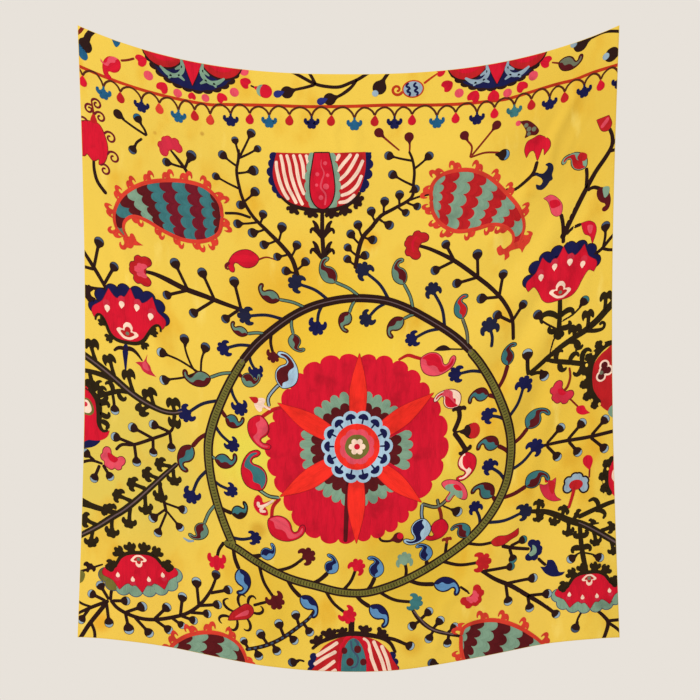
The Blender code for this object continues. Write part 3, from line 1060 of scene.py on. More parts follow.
def draw_right_spray():
    piece = Piece("right_spray")
    stem(piece, [(40, 32.8), (42.2, 33.3), (44.8, 32.0), (47.0, 30.2), (48.0, 27.4)], (0.8, 0.9, 0.95, 0.9))
    stem(piece, [(46.4, 30.8), (47.4, 30.6), (48.4, 30.9)], (1.0, 0.7))
    claw = [(47.2, 30.4), (48.6, 30.7), (49.5, 30.9), (50.3, 30.3), (50.6, 29.5), (50.0, 28.9),
            (51.0, 28.6), (51.9, 29.4), (52.1, 30.6), (51.8, 31.8), (52.0, 33.0), (51.2, 33.4),
            (50.6, 34.2), (49.4, 35.0), (48.0, 34.6), (47.7, 33.3), (48.8, 33.7), (49.4, 32.9),
            (48.9, 31.9), (47.8, 31.1)]
    piece.fill(claw, "ink", 1)
    trefoil = [(48.0, 27.3, 1), (47.5, 25.6), (46.9, 24.4), (45.9, 24.6), (45.2, 25.8, 1), (44.7, 23.8),
               (45.3, 21.9), (46.9, 21.3), (48.2, 20.9), (49.6, 21.6), (50.9, 22.8), (51.1, 24.6),
               (49.7, 26.3, 1), (49.6, 24.8), (49.1, 24.6), (48.7, 25.7)]
    edged(piece, trefoil, "crimson", "maroon", 0.14)
    cone = [(44.6, 20.7), (44.9, 19.2), (44.0, 17.3), (43.2, 16.2, 1), (45.2, 16.4), (46.9, 17.7),
            (48.2, 19.6), (47.5, 20.6), (46.0, 20.4)]
    piece.fill(cone, "maroon", 1)
    for a, b, size in ((44.9, 17.6, 0.55), (45.6, 18.7, 0.6), (46.9, 19.0, 0.6), (45.6, 19.9, 0.5)):
        piece.patch(disc((a, b), size), "grey", 2)
    piece.patch(disc((42.9, 16.6), 0.7), "pink", 0)
    stem(piece, [(54.6, 48.8), (56.2, 45.8), (58.4, 41.8), (60.4, 38.4), (63.0, 34.4), (65.6, 31.4),
                 (67.0, 29.2), (67.0, 26.8), (66.2, 24.6)],
         (1.5, 1.4, 1.3, 1.2, 0.8))
    stem(piece, [(66.8, 29.4), (68.8, 27.4)], 0.8)
    stem(piece, [(66.4, 30.4), (69, 30.6)], 0.8)
    stem(piece, [(60.7, 37.8), (60.8, 34.6), (60.6, 32.6)], 0.9)
    bud = [(62.9, 21.5, 1), (66.0, 21.4, 1), (66.8, 23.6), (66.2, 24.9), (65.0, 25.0), (64.0, 24.2)]
    edged(piece, bud, "red", "maroon")
    piece.fill([(64.0, 23.4), (65.6, 21.8), (66.0, 22.6), (64.5, 24.0)], "pink", 2, 40)
    leaf(piece, (60.4, 32.4), (56.0, 27.6), "sage", "red", -0.95, "bark")
    piece.fill([(59.0, 28.3), (60.6, 29.2), (60.4, 30.6), (58.9, 30.4), (58.2, 29.4)], "red", 3)
    stem(piece, [(61.0, 38.4), (62.6, 38.1), (64.3, 39.0)], 0.9)
    leaf(piece, (63.9, 38.8), (67.0, 44.0), "maroon", "maroon", 0.7, "maroon")
    piece.fill([(65.0, 38.9), (66.6, 39.2), (66.5, 40.8), (65.6, 41.6), (65.1, 40.6)], "sage", 3)
    pink = [(49.8, 37.3, 1), (51.6, 36.9), (53.4, 38.2), (54.6, 40.2), (54.4, 42.3), (53.2, 42.7),
            (52.0, 41.6), (51.4, 39.6), (50.8, 38.2)]
    edged(piece, pink, "pink", "wine")
    piece.fill([(51.4, 38.4), (53.4, 38.6), (54.2, 40.0), (53.0, 40.4), (51.8, 40.2)], "crimson", 2)
    stem(piece, [(54.3, 42.4), (54.8, 44.6), (55.0, 47), (55.1, 50)], 0.95)
    stem(piece, [(55.8, 48.0), (57.4, 46.8), (59.6, 46.4)], (0.7, 0.9))
    red = [(59.6, 46.2, 1), (61.6, 46.2), (63.1, 47.3), (63.5, 49.2), (62.6, 52.0, 1), (61.9, 50.0),
           (60.4, 48.9)]
    edged(piece, red, "crimson", "wine")
    piece.fill([(61.2, 47.2), (62.6, 47.6), (62.2, 49.4), (61.4, 48.8)], "pink", 2)
    stem(piece, [(62.6, 55.2), (65.0, 54.0), (67.0, 52.2), (69, 50.6)], 0.85)
    stem(piece, [(65.2, 54.0), (67, 54.8), (69, 55.2)], 0.75)
    stem(piece, [(65.3, 53.8), (65.8, 51.6), (65.9, 50)], 0.7)
    berry(piece, (65.9, 48.7), (65.8, 52), 1.2)


def draw_paisleys():
    left = Piece("paisley_upper_left")
    paisley(left,
            [(-32.2, 38.4), (-33.0, 34.6), (-36.4, 31.6), (-41.5, 31.0), (-47.5, 32.2), (-53, 34.6),
             (-57.4, 38.4), (-59.8, 43.0), (-59.6, 47.0), (-57.4, 49.2)],
            [(-32.2, 38.4), (-33.2, 42.6), (-36.8, 45.2), (-41.8, 46.0), (-47, 45.0), (-51.6, 43.4),
             (-55.0, 43.2), (-57.2, 45.0), (-57.6, 47.2), (-56.6, 49.0)],
            13, ("teal", "maroon", "teal", "wine", "teal", "wine", "teal", "maroon", "sage", "maroon",
                 "teal", "maroon", "grey"), 5,
            [(0, 0.10, 3.0, 0.7), (0, 0.20, 2.9, -0.7), (0, 0.30, 2.9, 0.7), (0, 0.41, 2.9, 0.7),
             (0, 0.52, 2.8, 0.7), (0, 0.63, 2.8, 0.7), (0, 0.73, 2.8, 0.7), (0, 0.84, 2.8, 0.7),
             (0, 0.94, 2.6, 0.8), (1, 0.06, 3.0, 0.7), (1, 0.20, 2.8, 0.7), (1, 0.31, 2.8, -0.7),
             (1, 0.44, 2.6, -0.7), (1, 0.58, 2.6, -0.7), (1, 0.76, 2.4, -0.8)])
    left.fill([(-57.6, 48.6), (-56.2, 48.6), (-55.9, 47.8), (-55.2, 47.6), (-54.6, 48.4), (-54.2, 49.2),
               (-52.6, 49.9, 1), (-54.8, 50.4), (-57.2, 50.4)],
              "coral", 2)
    crest(left, (-57.0, 49.6), (-56.9, 52.0), "coral", 2, 0.62, FLAME)
    right = Piece("paisley_upper_right")
    paisley(right,
            [(21.0, 32.6), (21.2, 29.0), (23.4, 26.6), (27.2, 25.8), (31.6, 26.4), (36.0, 29.0),
             (40.0, 33.4), (43.4, 38.2), (44.9, 43.0), (43.6, 47.6)],
            [(21.0, 32.6), (21.6, 35.8), (23.8, 39.0), (27.6, 41.2), (32.2, 41.4), (36.4, 41.0),
             (39.6, 42.0), (41.8, 44.0), (42.2, 46.2), (41.2, 47.8)],
            11, ("red", "sage"), 5,
            [(0, 0.05, 2.9, -0.7), (0, 0.15, 2.9, -0.7), (0, 0.26, 2.8, -0.7), (0, 0.38, 2.8, -0.7),
             (0, 0.50, 2.8, -0.7), (0, 0.63, 2.8, -0.7), (0, 0.79, 2.8, -0.7), (0, 0.94, 2.8, -0.7),
             (1, 0.07, 2.6, 0.7), (1, 0.19, 2.6, 0.7), (1, 0.31, 2.8, 0.7), (1, 0.48, 2.6, 0.7),
             (1, 0.64, 2.6, 0.7), (1, 0.76, 2.4, 0.8)])
    right.fill([(43.6, 46.6), (41.4, 47.0), (39.8, 47.8), (38.9, 46.6, 1), (37.9, 47.4), (38.6, 49.2),
                (39.9, 49.2), (40.0, 50.8, 1), (41.2, 50.0), (41.2, 48.8), (42.6, 48.5), (43.9, 48.6),
                (44.5, 49.8, 1), (45.3, 48.4), (46.3, 47.6), (46.9, 46.2, 1), (45.4, 46.6), (44.4, 46.4)],
               "coral", 2)
    low_left = Piece("paisley_lower_left")
    paisley(low_left,
            [(-45.5, 151.5), (-43.6, 148.8), (-40.4, 146.2), (-36, 144.4), (-31.4, 144.0), (-27.6, 145.6),
             (-25.6, 149), (-25.2, 153)],
            [(-45.5, 151.5), (-43.0, 156), (-39, 157), (-35, 157), (-31.4, 157), (-28, 157), (-26, 156),
             (-25.2, 153)],
            7, ("sage", "maroon"), 5,
            [(0, 0.02, 2.6, -0.7), (0, 0.14, 2.9, 0.7), (0, 0.30, 2.9, -0.7), (0, 0.47, 2.9, 0.7),
             (0, 0.63, 2.6, -0.7), (0, 0.88, 2.2, 0.7)])
    low_right = Piece("paisley_lower_right")
    paisley(low_right,
            [(28.2, 143.6), (29.2, 141.6), (32.6, 140.9), (37, 141.5), (41.4, 143.6), (45.4, 146.6),
             (48.4, 149.6), (50.2, 153)],
            [(28.2, 143.6), (28.3, 147.6), (29.6, 151.5), (34, 156), (39, 157), (43.6, 157), (47, 156),
             (50.2, 153)],
            8, ("sage", "maroon"), 5,
            [(0, 0.06, 2.8, -0.7), (0, 0.24, 2.8, -0.7), (0, 0.42, 2.8, -0.7), (0, 0.62, 2.8, -0.7),
             (0, 0.85, 2.8, -0.7), (1, 0.16, 2.6, 0.7)])


def draw_tulips():
    piece = Piece("striped_tulips")
    body = [(-18.2, 20.3, 1), (4.3, 19.6, 1), (4.4, 22), (4.3, 24), (3.9, 26), (3.3, 28), (2.6, 29.6),
            (1.2, 31.4), (-1.0, 32.9), (-4, 33.8), (-10, 33.9), (-14, 33.1), (-16.9, 31.2), (-17.9, 30.0),
            (-18.8, 28.0), (-19.2, 26), (-19.1, 24), (-18.7, 22.2)]
    for at, radius in (((-18.9, 21.4), 1.15), ((-19.2, 23.2), 1.2), ((-19.5, 25.3), 1.3),
                       ((-19.1, 27.5), 1.3), ((-18.3, 29.4), 1.25), ((-17.4, 30.8), 1.0),
                       ((4.7, 20.8), 1.15), ((5.0, 22.7), 1.3), ((4.8, 25.2), 1.3), ((4.0, 27.7), 1.3),
                       ((3.5, 28.9), 0.9)):
        piece.patch(disc(at, radius), "navy", 0)
    piece.patch(np.array([(-19.6, 20.4), (-18.0, 20.3), (-18.0, 30.6), (-19.4, 27.0)]), "navy", 0)
    piece.patch(np.array([(4.2, 19.7), (5.8, 19.7), (5.4, 25.0), (3.8, 28.6), (3.4, 26.0)]), "navy", 0)
    piece.fill(body, "red", 1)
    for line in ([(-18.3, 22.4), (-18.2, 24.4), (-17.5, 27.5), (-16.5, 30.0), (-15.2, 32.0)],
                 [(-17.2, 20.7), (-16.7, 23), (-16.3, 25.5), (-15.5, 28.5), (-14.2, 31.0), (-13.2, 32.9)],
                 [(-15.7, 20.6), (-15.0, 23), (-14.6, 25.5), (-13.9, 28), (-12.8, 30.8), (-11.6, 33.2)],
                 [(-14.0, 20.5), (-13.3, 23), (-12.9, 25.5), (-12.3, 28), (-11.2, 30.6)],
                 [(-12.4, 20.4), (-11.7, 22.5), (-11.4, 24.6), (-11.3, 26.6)],
                 [(-10.8, 20.4), (-10.3, 21.8), (-10.1, 23.2)],
                 [(-3.2, 21.9), (-2.7, 21.0), (-2.2, 20.1)],
                 [(-2.9, 24.6), (-1.4, 22.7), (-0.1, 21.2), (0.7, 20.1)],
                 [(-2.5, 26.8), (-0.5, 25.0), (1.1, 22.6), (2.4, 20.1)],
                 [(-2.1, 28.8), (0.3, 27.1), (2.3, 24.6), (3.7, 21.6)],
                 [(-2.0, 30.6), (0.4, 29.7), (2.2, 28.0), (3.4, 25.4)],
                 [(-2.6, 32.3), (-0.6, 32.0), (0.8, 31.1), (1.7, 30.2)]):
        piece.stroke(line, (0.75, 0.9, 0.8), "cream", 2)
    lobed_band(piece, [(-7.8, 33.7), (-9.5, 31.8), (-9.9, 29), (-9.8, 26), (-9.3, 23), (-8.7, 20.0)], 0.75,
               0.55, 6, "sage", 3)
    lobed_band(piece, [(-4.9, 20.0), (-4.2, 23), (-3.6, 26), (-3.4, 29), (-3.9, 31.8), (-5.2, 33.5)], 0.8,
               0.7, 6, "sage", 3)
    seed = [(-8.6, 20.0, 1), (-5.0, 19.9, 1), (-4.3, 23), (-3.8, 26), (-3.6, 29), (-4.1, 31.6),
            (-5.2, 33.3), (-6.6, 33.9), (-8.2, 33.2), (-9.3, 31.4), (-9.7, 29), (-9.6, 26), (-9.1, 23)]
    edged(piece, seed, "crimson", "bark", 0.3, 4)
    vine = [(-6.9, 21.6), (-6.9, 23.2), (-6.2, 25.0), (-6.8, 27.0), (-7.0, 28.6), (-5.8, 30.4), (-6.0, 33)]
    piece.stroke(vine, (0.15, 0.45, 0.4), "pink", 6)
    for a, b, radius in ((-5.9, 22.5, 0.5), (-5.3, 25.5, 0.45), (-7.9, 25.3, 0.5), (-5.7, 28.3, 0.75),
                         (-8.1, 28.0, 0.4), (-7.0, 31.1, 0.6)):
        piece.patch(disc((a, b), radius), "pink", 6)
    calyx = [(3.0, 29.6), (2.0, 31.2), (-0.4, 33.0), (-3.4, 34.0), (-7.0, 34.4), (-11.0, 34.1),
             (-14.6, 33.2), (-17.2, 31.4)]
    piece.stroke(calyx, (0.7, 1.0, 1.1, 1.0, 0.6), "bark", 4)
    for at, tip in (((1.4, 31.6), (3.4, 32.6)), ((-1.2, 33.4), (-0.5, 35.4)), ((-4.4, 34.0), (-4.0, 36.2)),
                    ((-9.4, 34.0), (-9.6, 36.2)), ((-13.8, 33.4), (-14.4, 35.4))):
        crest(piece, at, tip, "bark", 4, 0.86, CURLS)
    stem(piece, [(-6.7, 34.4), (-6.7, 40), (-6.5, 44), (-6.5, 48)], (1.0, 1.1, 1.1, 0.7))
    for b in (41.4, 46.6):
        for side in (-1, 1):
            a = -6.7 + 0.2 * side
            piece.stroke([(a, b), (a + 0.9 * side, b - 1.8), (a + 1.5 * side, b - 3.6),
                          (a + 2.3 * side, b - 4.5)], (0.5, 1.3, 1.2, 0.5), "bark", 1)
            piece.stroke([(a + 0.7 * side, b - 1.2), (a + 2.0 * side, b - 2.4), (a + 2.7 * side, b - 2.0),
                          (a + 2.7 * side, b - 1.2)], (0.9, 1.0, 0.5), "bark", 1)
    # the tulip that the bottom edge cuts
    low = [(-8.4, 152), (-8.4, 148.6), (-7.7, 145.9), (-6.0, 143.6), (-3.0, 141.8), (0, 141.0), (4, 141.2),
           (7.2, 142.3), (9.4, 144.2), (10.8, 146.6), (11.4, 152)]
    for at, radius in (((-8.7, 146.5), 1.0), ((-9.1, 148.2), 1.1), ((-9.2, 150.0), 1.1),
                       ((-9.2, 151.6), 1.0), ((10.9, 146.2), 1.0), ((11.5, 147.9), 1.0),
                       ((11.7, 149.6), 1.0)):
        piece.patch(disc(at, radius), "navy", 0)
    piece.fill(low, "red", 1)
    for line in ([(-8.1, 146.3), (-5.2, 144.4), (-2.6, 142.6)], [(-8.7, 148.5), (-6, 146.6), (-3.0, 144.9)],
                 [(-7.6, 150.4), (-5.4, 148.9), (-3.3, 147.2)], [(-4.4, 150.4), (-3.0, 149.4)],
                 [(3.6, 141.6), (4.8, 142.6), (5.3, 144.4), (5.8, 146.6), (6.6, 148.8), (7.4, 151)],
                 [(6.2, 142.2), (7.2, 144.5), (8.4, 147.5), (9.3, 151)], [(8.2, 143.4), (9.2, 145.8),
                                                                          (9.9, 148), (10.5, 151)]):
        piece.stroke(line, 0.85, "cream", 2)
    lobed_band(piece, [(1.2, 141.4), (3.6, 142.6), (4.3, 145.4), (4.5, 148), (4.5, 152)], 0.4, 0.5, 5,
               "crimson", 3)
    lobed_band(piece, [(-1.9, 152), (-2.0, 148), (-1.8, 145.4), (-0.9, 142.6), (0.8, 141.2)], 0.4, 0.4, 5,
               "crimson", 3)
    piece.patch(disc((1.3, 149.2), 3.15, 0, 0, 0, 2.42), "teal", 4)
    for a, b, radius in ((-1.0, 144.7, 0.75), (2.3, 144.3, 0.9), (0.4, 147.5, 0.95), (3.7, 147.5, 0.8)):
        piece.patch(disc((a, b), radius, 0, 0, 0, 1.1), "maroon", 5)
    piece.stroke([(0.6, 142.2), (1.0, 144.4), (2.4, 146.4), (2.0, 148.4), (0.6, 149.0)], 0.4, "slate", 5)
    piece.stroke([(1.6, 141.8), (2.3, 142.8), (2.2, 143.8)], 0.6, "slate", 5)
    crown = [(-9.2, 144.6), (-7.4, 143.0), (-5.0, 141.8), (-2.0, 140.8), (1.0, 140.4), (4.4, 140.7),
             (8.0, 141.5), (10.4, 143.0), (11.8, 145.6)]
    piece.stroke(crown, (0.7, 1.1, 1.2, 1.1, 0.7), "bark", 4)
    for at, tip in (((-7.4, 143.2), (-8.6, 141.5)), ((-4.6, 141.6), (-5.3, 139.4)),
                    ((-1.4, 140.6), (-1.9, 139.0)), ((4.0, 140.4), (4.2, 138.4)),
                    ((7.8, 141.2), (9.0, 139.6))):
        crest(piece, at, tip, "bark", 4, 0.9, CURLS)
    stem(piece, [(0.8, 136.6), (0.7, 140.6)], 1.5)
    stem(piece, [(8.6, 141.6), (11.4, 142.2), (14.6, 143.8)], (1.0, 0.8))
    berry(piece, (15.4, 144.2), (12, 142.5), 1.15, "bark", "mist")


RING_TOP = [(-27.6, 74.4), (-24, 69.6), (-20, 65.6), (-15, 61.6), (-10, 58.8), (-5, 57.2), (0, 56.4),
            (5, 56.4), (10, 57.2), (15, 59.2), (20, 62.2), (25, 65.8), (28.6, 69.0), (31.6, 72.4)]
RING_LEFT = [(-27.0, 73.6), (-28.6, 76.4), (-30.8, 80.6), (-33.2, 86.2), (-34.8, 91), (-35.8, 96),
             (-35.7, 101), (-34.9, 106), (-33.4, 111.4), (-31.4, 116.6), (-29.2, 121.2)]
RING_RIGHT = [(31.0, 71.8), (34.0, 76), (37.0, 81.4), (39.2, 86.8), (40.8, 92), (41.6, 97), (41.4, 102),
              (40.4, 107), (38.2, 111.6), (35.4, 115.4), (31.8, 118.8), (27.4, 121.6), (22, 124.4),
              (16, 127), (10, 129), (4, 130.3), (-2, 130.1), (-8, 128.8), (-14, 127.6), (-19, 126),
              (-24, 123.8), (-28.4, 121.6), (-31.6, 120.6)]


def draw_ring():
    piece = Piece("ring_vine")
    piece.stroke(RING_TOP, (2.1, 2.1, 2.0), "bark", 1)
    piece.stroke(RING_TOP, 0.22, "mauve", 3)
    for line, width in ((RING_LEFT, (2.2, 2.5, 2.4, 2.3)),
                        (RING_RIGHT, (2.2, 2.4, 2.4, 2.3, 2.2, 2.2, 2.1))):
        piece.stroke(line, width, "bark", 1)
        piece.stroke(line, np.asarray(width) - 0.95, "olive", 2)
        dense = curve(line, False, 0.75)
        along = np.gradient(dense, axis=0)
        along /= np.linalg.norm(along, axis=1, keepdims=True)
        for at, way in list(zip(dense, along))[2:-2]:
            side = np.array((-way[1], way[0])) * 0.48
            piece.stroke([tuple(at - side), tuple(at + way * 0.12), tuple(at + side)], 0.16, "moss", 3, 0.5)


# Leaves on the ring: stem foot, where the leaf begins, its end, the outer and inner thread, width (below 0
# for a leaf that hooks to the left), and the stem's thread
Leaf = namedtuple("Leaf", "foot base tip outer inner width stem")
LEAVES = (
    Leaf((3.2, 55.8), (-3.4, 52.3), (-7.6, 47.6), "fern", "maroon", 1.0, "fern"),
    Leaf((-11, 58.8), (-17.8, 57.3), (-23.2, 55.9), "maroon", "fern", 0.95, "fern"),
    Leaf((-21, 66.4), (-26, 66.9), (-30.3, 66.0), "maroon", "fern", 0.9, "fern"),
    Leaf((17.4, 58.9), (14.2, 53.1), (11.5, 47.6), "fern", "maroon", 0.95, "fern"),
    Leaf((31.4, 70.6), (29.3, 63.5), (28.2, 57.9), "teal", "red", 0.95, "grey"),
    Leaf((39.7, 82.8), (41.0, 77.5), (40.9, 72.3), "teal", "maroon", 1.0, ""),
    Leaf((42.4, 98), (46.0, 94.6), (49.6, 90.0), "teal", "maroon", 1.15, ""),
    Leaf((40.0, 112), (45.4, 109.2), (50.1, 106.2), "teal", "maroon", 1.15, ""),
    Leaf((15, 128.5), (21.7, 129.6), (28.1, 130.7), "navy", "blue", 0.9, ""),
    Leaf((1.4, 131.2), (5.4, 133.8), (10.4, 137.2), "navy", "blue", 0.95, ""),
    Leaf((-16.2, 128.4), (-12.1, 131.8), (-7.4, 135.0), "navy", "blue", 0.95, ""),
    Leaf((-29.8, 122.4), (-27.7, 126.8), (-25.4, 132.2), "navy", "blue", 1.05, ""),
    Leaf((-35.0, 111.6), (-36.8, 117.0), (-38.4, 121.6), "fern", "maroon", 1.15, "fern"),
    Leaf((-36.6, 93.2), (-40.0, 98.0), (-43.8, 103.6), "maroon", "teal", -0.9, ""),
    Leaf((-30.2, 76.6), (-35.6, 79.6), (-41.8, 81.8), "maroon", "fern", 0.95, "fern"),
    Leaf((2.2, 57.2), (0.2, 60.0), (-2.3, 63.8), "maroon", "fern", -1.15, "fern"),
    Leaf((18.0, 60.9), (14.1, 61.9), (9.6, 64.8), "maroon", "fern", -1.0, "fern"),
    Leaf((38.6, 86.2), (35.9, 84.1), (31.3, 83.0), "maroon", "teal", -1.15, ""),
    Leaf((41.0, 100.5), (38.2, 97.4), (33.8, 95.0), "maroon", "teal", -1.15, ""),
    Leaf((37.8, 112.4), (36.8, 110.0), (33.0, 105.9), "maroon", "teal", -1.1, ""),
    Leaf((30.4, 119.6), (30.2, 119.0), (28.0, 115.0), "teal", "maroon", -1.2, ""),
    Leaf((19.4, 125.4), (19.8, 123.3), (19.4, 118.9), "blue", "navy", -1.2, ""),
    Leaf((4.2, 129.8), (6.7, 126.4), (7.6, 121.5), "blue", "navy", -1.2, ""),
    Leaf((-9.6, 128), (-5.2, 125.3), (-3.0, 121.6), "blue", "navy", -1.3, ""),
    Leaf((-25.8, 122.8), (-22.2, 122.4), (-18.4, 120.8), "blue", "navy", -1.2, ""),
    Leaf((-33.0, 111.6), (-29.6, 112.9), (-25.5, 111.4), "bark", "teal", -1.2, ""),
    Leaf((-36.0, 98.7), (-34.0, 99.9), (-28.8, 100.3), "maroon", "teal", -1.1, "fern"),
    Leaf((-33.0, 86.4), (-31.4, 89.0), (-27.6, 90.6), "maroon", "teal", -1.3, ""),
    Leaf((-28.6, 76.4), (-27.4, 78.1), (-23.2, 79.2), "fern", "maroon", -1.3, ""),
    Leaf((-14.0, 62.0), (-14.2, 65.8), (-13.4, 70.2), "fern", "maroon", -1.15, "fern"),
)
# Clovers on the ring: centre, stem foot, thread, size
CLOVERS = (
    ((-13, 53), (-4.8, 56.6), "ink", 2.2), ((4.2, 49.7), (10.8, 57), "ink", 2.2),
    ((21.7, 55.6), (25, 65.2), "ink", 2.0), ((36.3, 67.2), (36.7, 72.2), "ink", 2.3),
    ((45.0, 83.6), (42.2, 90.8), "navy", 2.1), ((47.6, 100), (42.5, 105), "navy", 2.1),
    ((44.4, 115.6), (36, 117.8), "ink", 2.0), ((33.4, 126), (24, 125.5), "red", 2.3),
    ((16.4, 133.4), (7.2, 130.6), "teal", 2.0), ((-0.4, 135.6), (-6.5, 130.2), "crimson", 2.1),
    ((-18.6, 133), (-23.4, 125.8), "maroon", 2.2), ((-33.4, 125.4), (-33.6, 121.2), "crimson", 2.2),
    ((-40, 110.2), (-36.8, 102.6), "navy", 2.1), ((-41.3, 89.8), (-33.8, 84.3), "navy", 2.1),
    ((-31.6, 71.5), (-24.6, 69.6), "navy", 1.9), ((-26, 62.4), (-16.6, 61.8), "ink", 2.2),
    ((-8, 63.2), (-6.4, 57.8), "navy", 2.2), ((5, 61.3), (10.2, 57.6), "ink", 2.0),
    ((16.8, 67.1), (24.4, 65.4), "navy", 1.9), ((28.0, 77.4), (35.4, 78.2), "navy", 2.0),
    ((36.2, 89.4), (40.4, 91.8), "navy", 1.9), ((36.2, 102.4), (40.4, 107.4), "navy", 1.9),
    ((32.4, 112.2), (34.4, 118.2), "navy", 1.7), ((14.2, 122.9), (14.3, 127.6), "sage", 2.0),
    ((2.0, 123.9), (-1.8, 129.5), "crimson", 2.0), ((-10.8, 121.4), (-19, 125.8), "maroon", 2.1),
    ((-24.2, 118.2), (-30.2, 119), "navy", 1.7), ((-30.2, 107), (-35, 105), "navy", 1.7),
    ((-30.0, 95.4), (-34.8, 90.6), "navy", 1.8), ((-28.0, 85.6), (-29.8, 80.2), "navy", 2.0),
    ((-23.8, 76.0), (-24.6, 72.4), "navy", 1.8), ((-19.3, 71.4), (-18.9, 66.2), "maroon", 1.7),
)


def to_ring(foot, ring):
    """A stem's foot, moved in under the vine when it is close to it."""
    gap = np.linalg.norm(ring - foot, axis=1)
    nearest = ring[int(np.argmin(gap))]
    return nearest if gap.min() < 3.0 else np.array(foot, float)


def draw_ring_leaves():
    piece = Piece("ring_leaves")
    ring = np.vstack([curve(part) for part in (RING_TOP, RING_LEFT, RING_RIGHT)])
    for item in LEAVES:
        a = to_ring(item.foot, ring)
        b = np.array(item.base, float)
        bow = np.array((-(b - a)[1], (b - a)[0])) * 0.06
        path = [tuple(a), tuple((a + b) / 2 + bow), tuple(b)]
        thread = "bark" if item.stem or item.outer in ("navy", "blue", "bark") else "maroon"
        piece.stroke(path, 0.9 if item.stem else (0.9, 1.1), thread, 0)
        if item.stem:
            piece.stroke(path, 0.50, item.stem, 1)
        leaf(piece, item.base, item.tip, item.outer, item.inner, item.width, "bark", 1)
    flowers = Piece("ring_clovers")
    for centre, foot, thread, size in CLOVERS:
        a, b = to_ring(foot, ring), np.array(centre, float)
        bow = np.array((-(b - a)[1], (b - a)[0])) * 0.08
        dark = "bark" if thread not in ("ink", "navy") else "ink"
        flowers.stroke([tuple(a), tuple((a + b) / 2 + bow), tuple(b)], (0.85, 0.75), dark, 0)
        clover(flowers, centre, foot, thread, size)
    flowers.stroke([(31.6, 71.6), (28.5, 71.2), (25.6, 70.7)], 0.4, "bark", 0)
    # a red leaf and a small pink flower below the vine on the right
    flowers.stroke([(30, 120.6), (33.5, 121.6), (36.8, 121.6)], 0.75, "bark", 0)
    wavy = [(36.4, 121.2), (38.0, 120.4), (40.0, 120.6), (41.6, 120.2), (43.2, 119.4, 1), (43.0, 121.0),
            (41.2, 121.8), (39.6, 122.6), (37.8, 122.8), (36.6, 122.2)]
    edged(flowers, wavy, "red", "maroon", 0.12, 1)
    flowers.stroke([(28.2, 131.2), (29.6, 132.4), (30.6, 133.4)], 0.6, "bark", 0)
    carnation(flowers, (31.4, 134.5), (29.4, 132.0), 2.9, "red", "pink")
    flowers.stroke([(-42.0, 121.6), (-40.6, 122.1), (-39.2, 121.8)], (0.3, 0.7, 0.4), "mist", 1)
    flowers.fill([(21.9, 70.7, 1), (23.2, 69.8), (24.6, 69.6), (25.8, 70.3), (26.4, 71.1, 1), (24.2, 71.0)],
                 "bark", 1)


def draw_rosette():
    centre = np.array((2.0, 94.0))
    petals = Piece("rosette_petals")
    spears = ((2, 23.8, 2.1, 1.15), (57.3, 23.6, 2.3, 1.35), (130.9, 21.9, 2.3, 0.55),
              (180, 23.7, 2.1, 2.15), (236.6, 23.3, 2.4, 0.9), (297.7, 22.8, 2.4, 1.45))
    rim = []
    for (first, r1, _, bulge), (last, r2, _, _) in zip(spears, spears[1:] + spears[:1]):
        span = (last - first) % 360
        for k in range(50):
            share = k / 50
            lobe = 1.35 * abs(math.sin(math.pi * 5 * share)) ** 0.55
            base = r1 * (1 - share) + r2 * share - 1.7
            rim.append(toward(centre, first + span * share,
                              base + bulge * math.sin(math.pi * share) + lobe))
    petals.patch(np.array(rim), "crimson", 0, 90, 0.9)
    petals.stroke([(-0.2, 102), (-0.5, 110), (-0.8, 117.4)], (0.9, 1.2, 1.0), "maroon", 2)
    for (first, _, _, _), (last, _, _, _) in zip(spears, spears[1:] + spears[:1]):
        middle = first + ((last - first) % 360) / 2
        petals.patch(fan(centre, middle, 22, 8, 13.2, 1.4, 4), "sage", 1, middle - 90, 0.5)
        petals.patch(fan(centre, middle, 21, 8, 10.6, 1.2, 3), "maroon", 2, middle - 90, 0.5)
    for angle, reach, half, _ in spears:
        foot, tip = toward(centre, angle, 7.0), toward(centre, angle, reach)
        spear = [(0, -0.10), (0.34, -0.155), (0.62, -0.12), (1, 0, 1), (0.62, 0.12), (0.34, 0.155),
                 (0, 0.10)]
        petals.patch(grow(curve(place(spear, foot, tip, half / 2.5), True), 0.14), "red", 3, angle - 90)
        petals.fill(place(spear, foot, tip, half / 2.5), "scarlet", 4, angle - 90)
    core = Piece("rosette_centre")
    heart = np.array((2.2, 93.6))
    core.patch(disc(heart, 8.3, 0.9, 14), "sky", 5)
    for k in range(14):
        angle = 360 * (k + 0.5) / 14
        foot = toward(heart, angle, 7.35)
        core.fill(place(MUSHROOM, foot, toward(heart, angle, 8.75), 0.95), "navy", 6, angle - 90, 0.25)
    core.patch(disc(heart, 5.85), "scarlet", 6)
    core.patch(disc(heart, 4.1, 0.5, 8), "pink", 7)
    core.patch(disc(heart, 3.05, 0.1, 5), "olive", 8)
    core.patch(disc(heart, 1.45, 0.7, 6), "cream", 9)
    core.patch(disc(heart, 0.75), "crimson", 10)


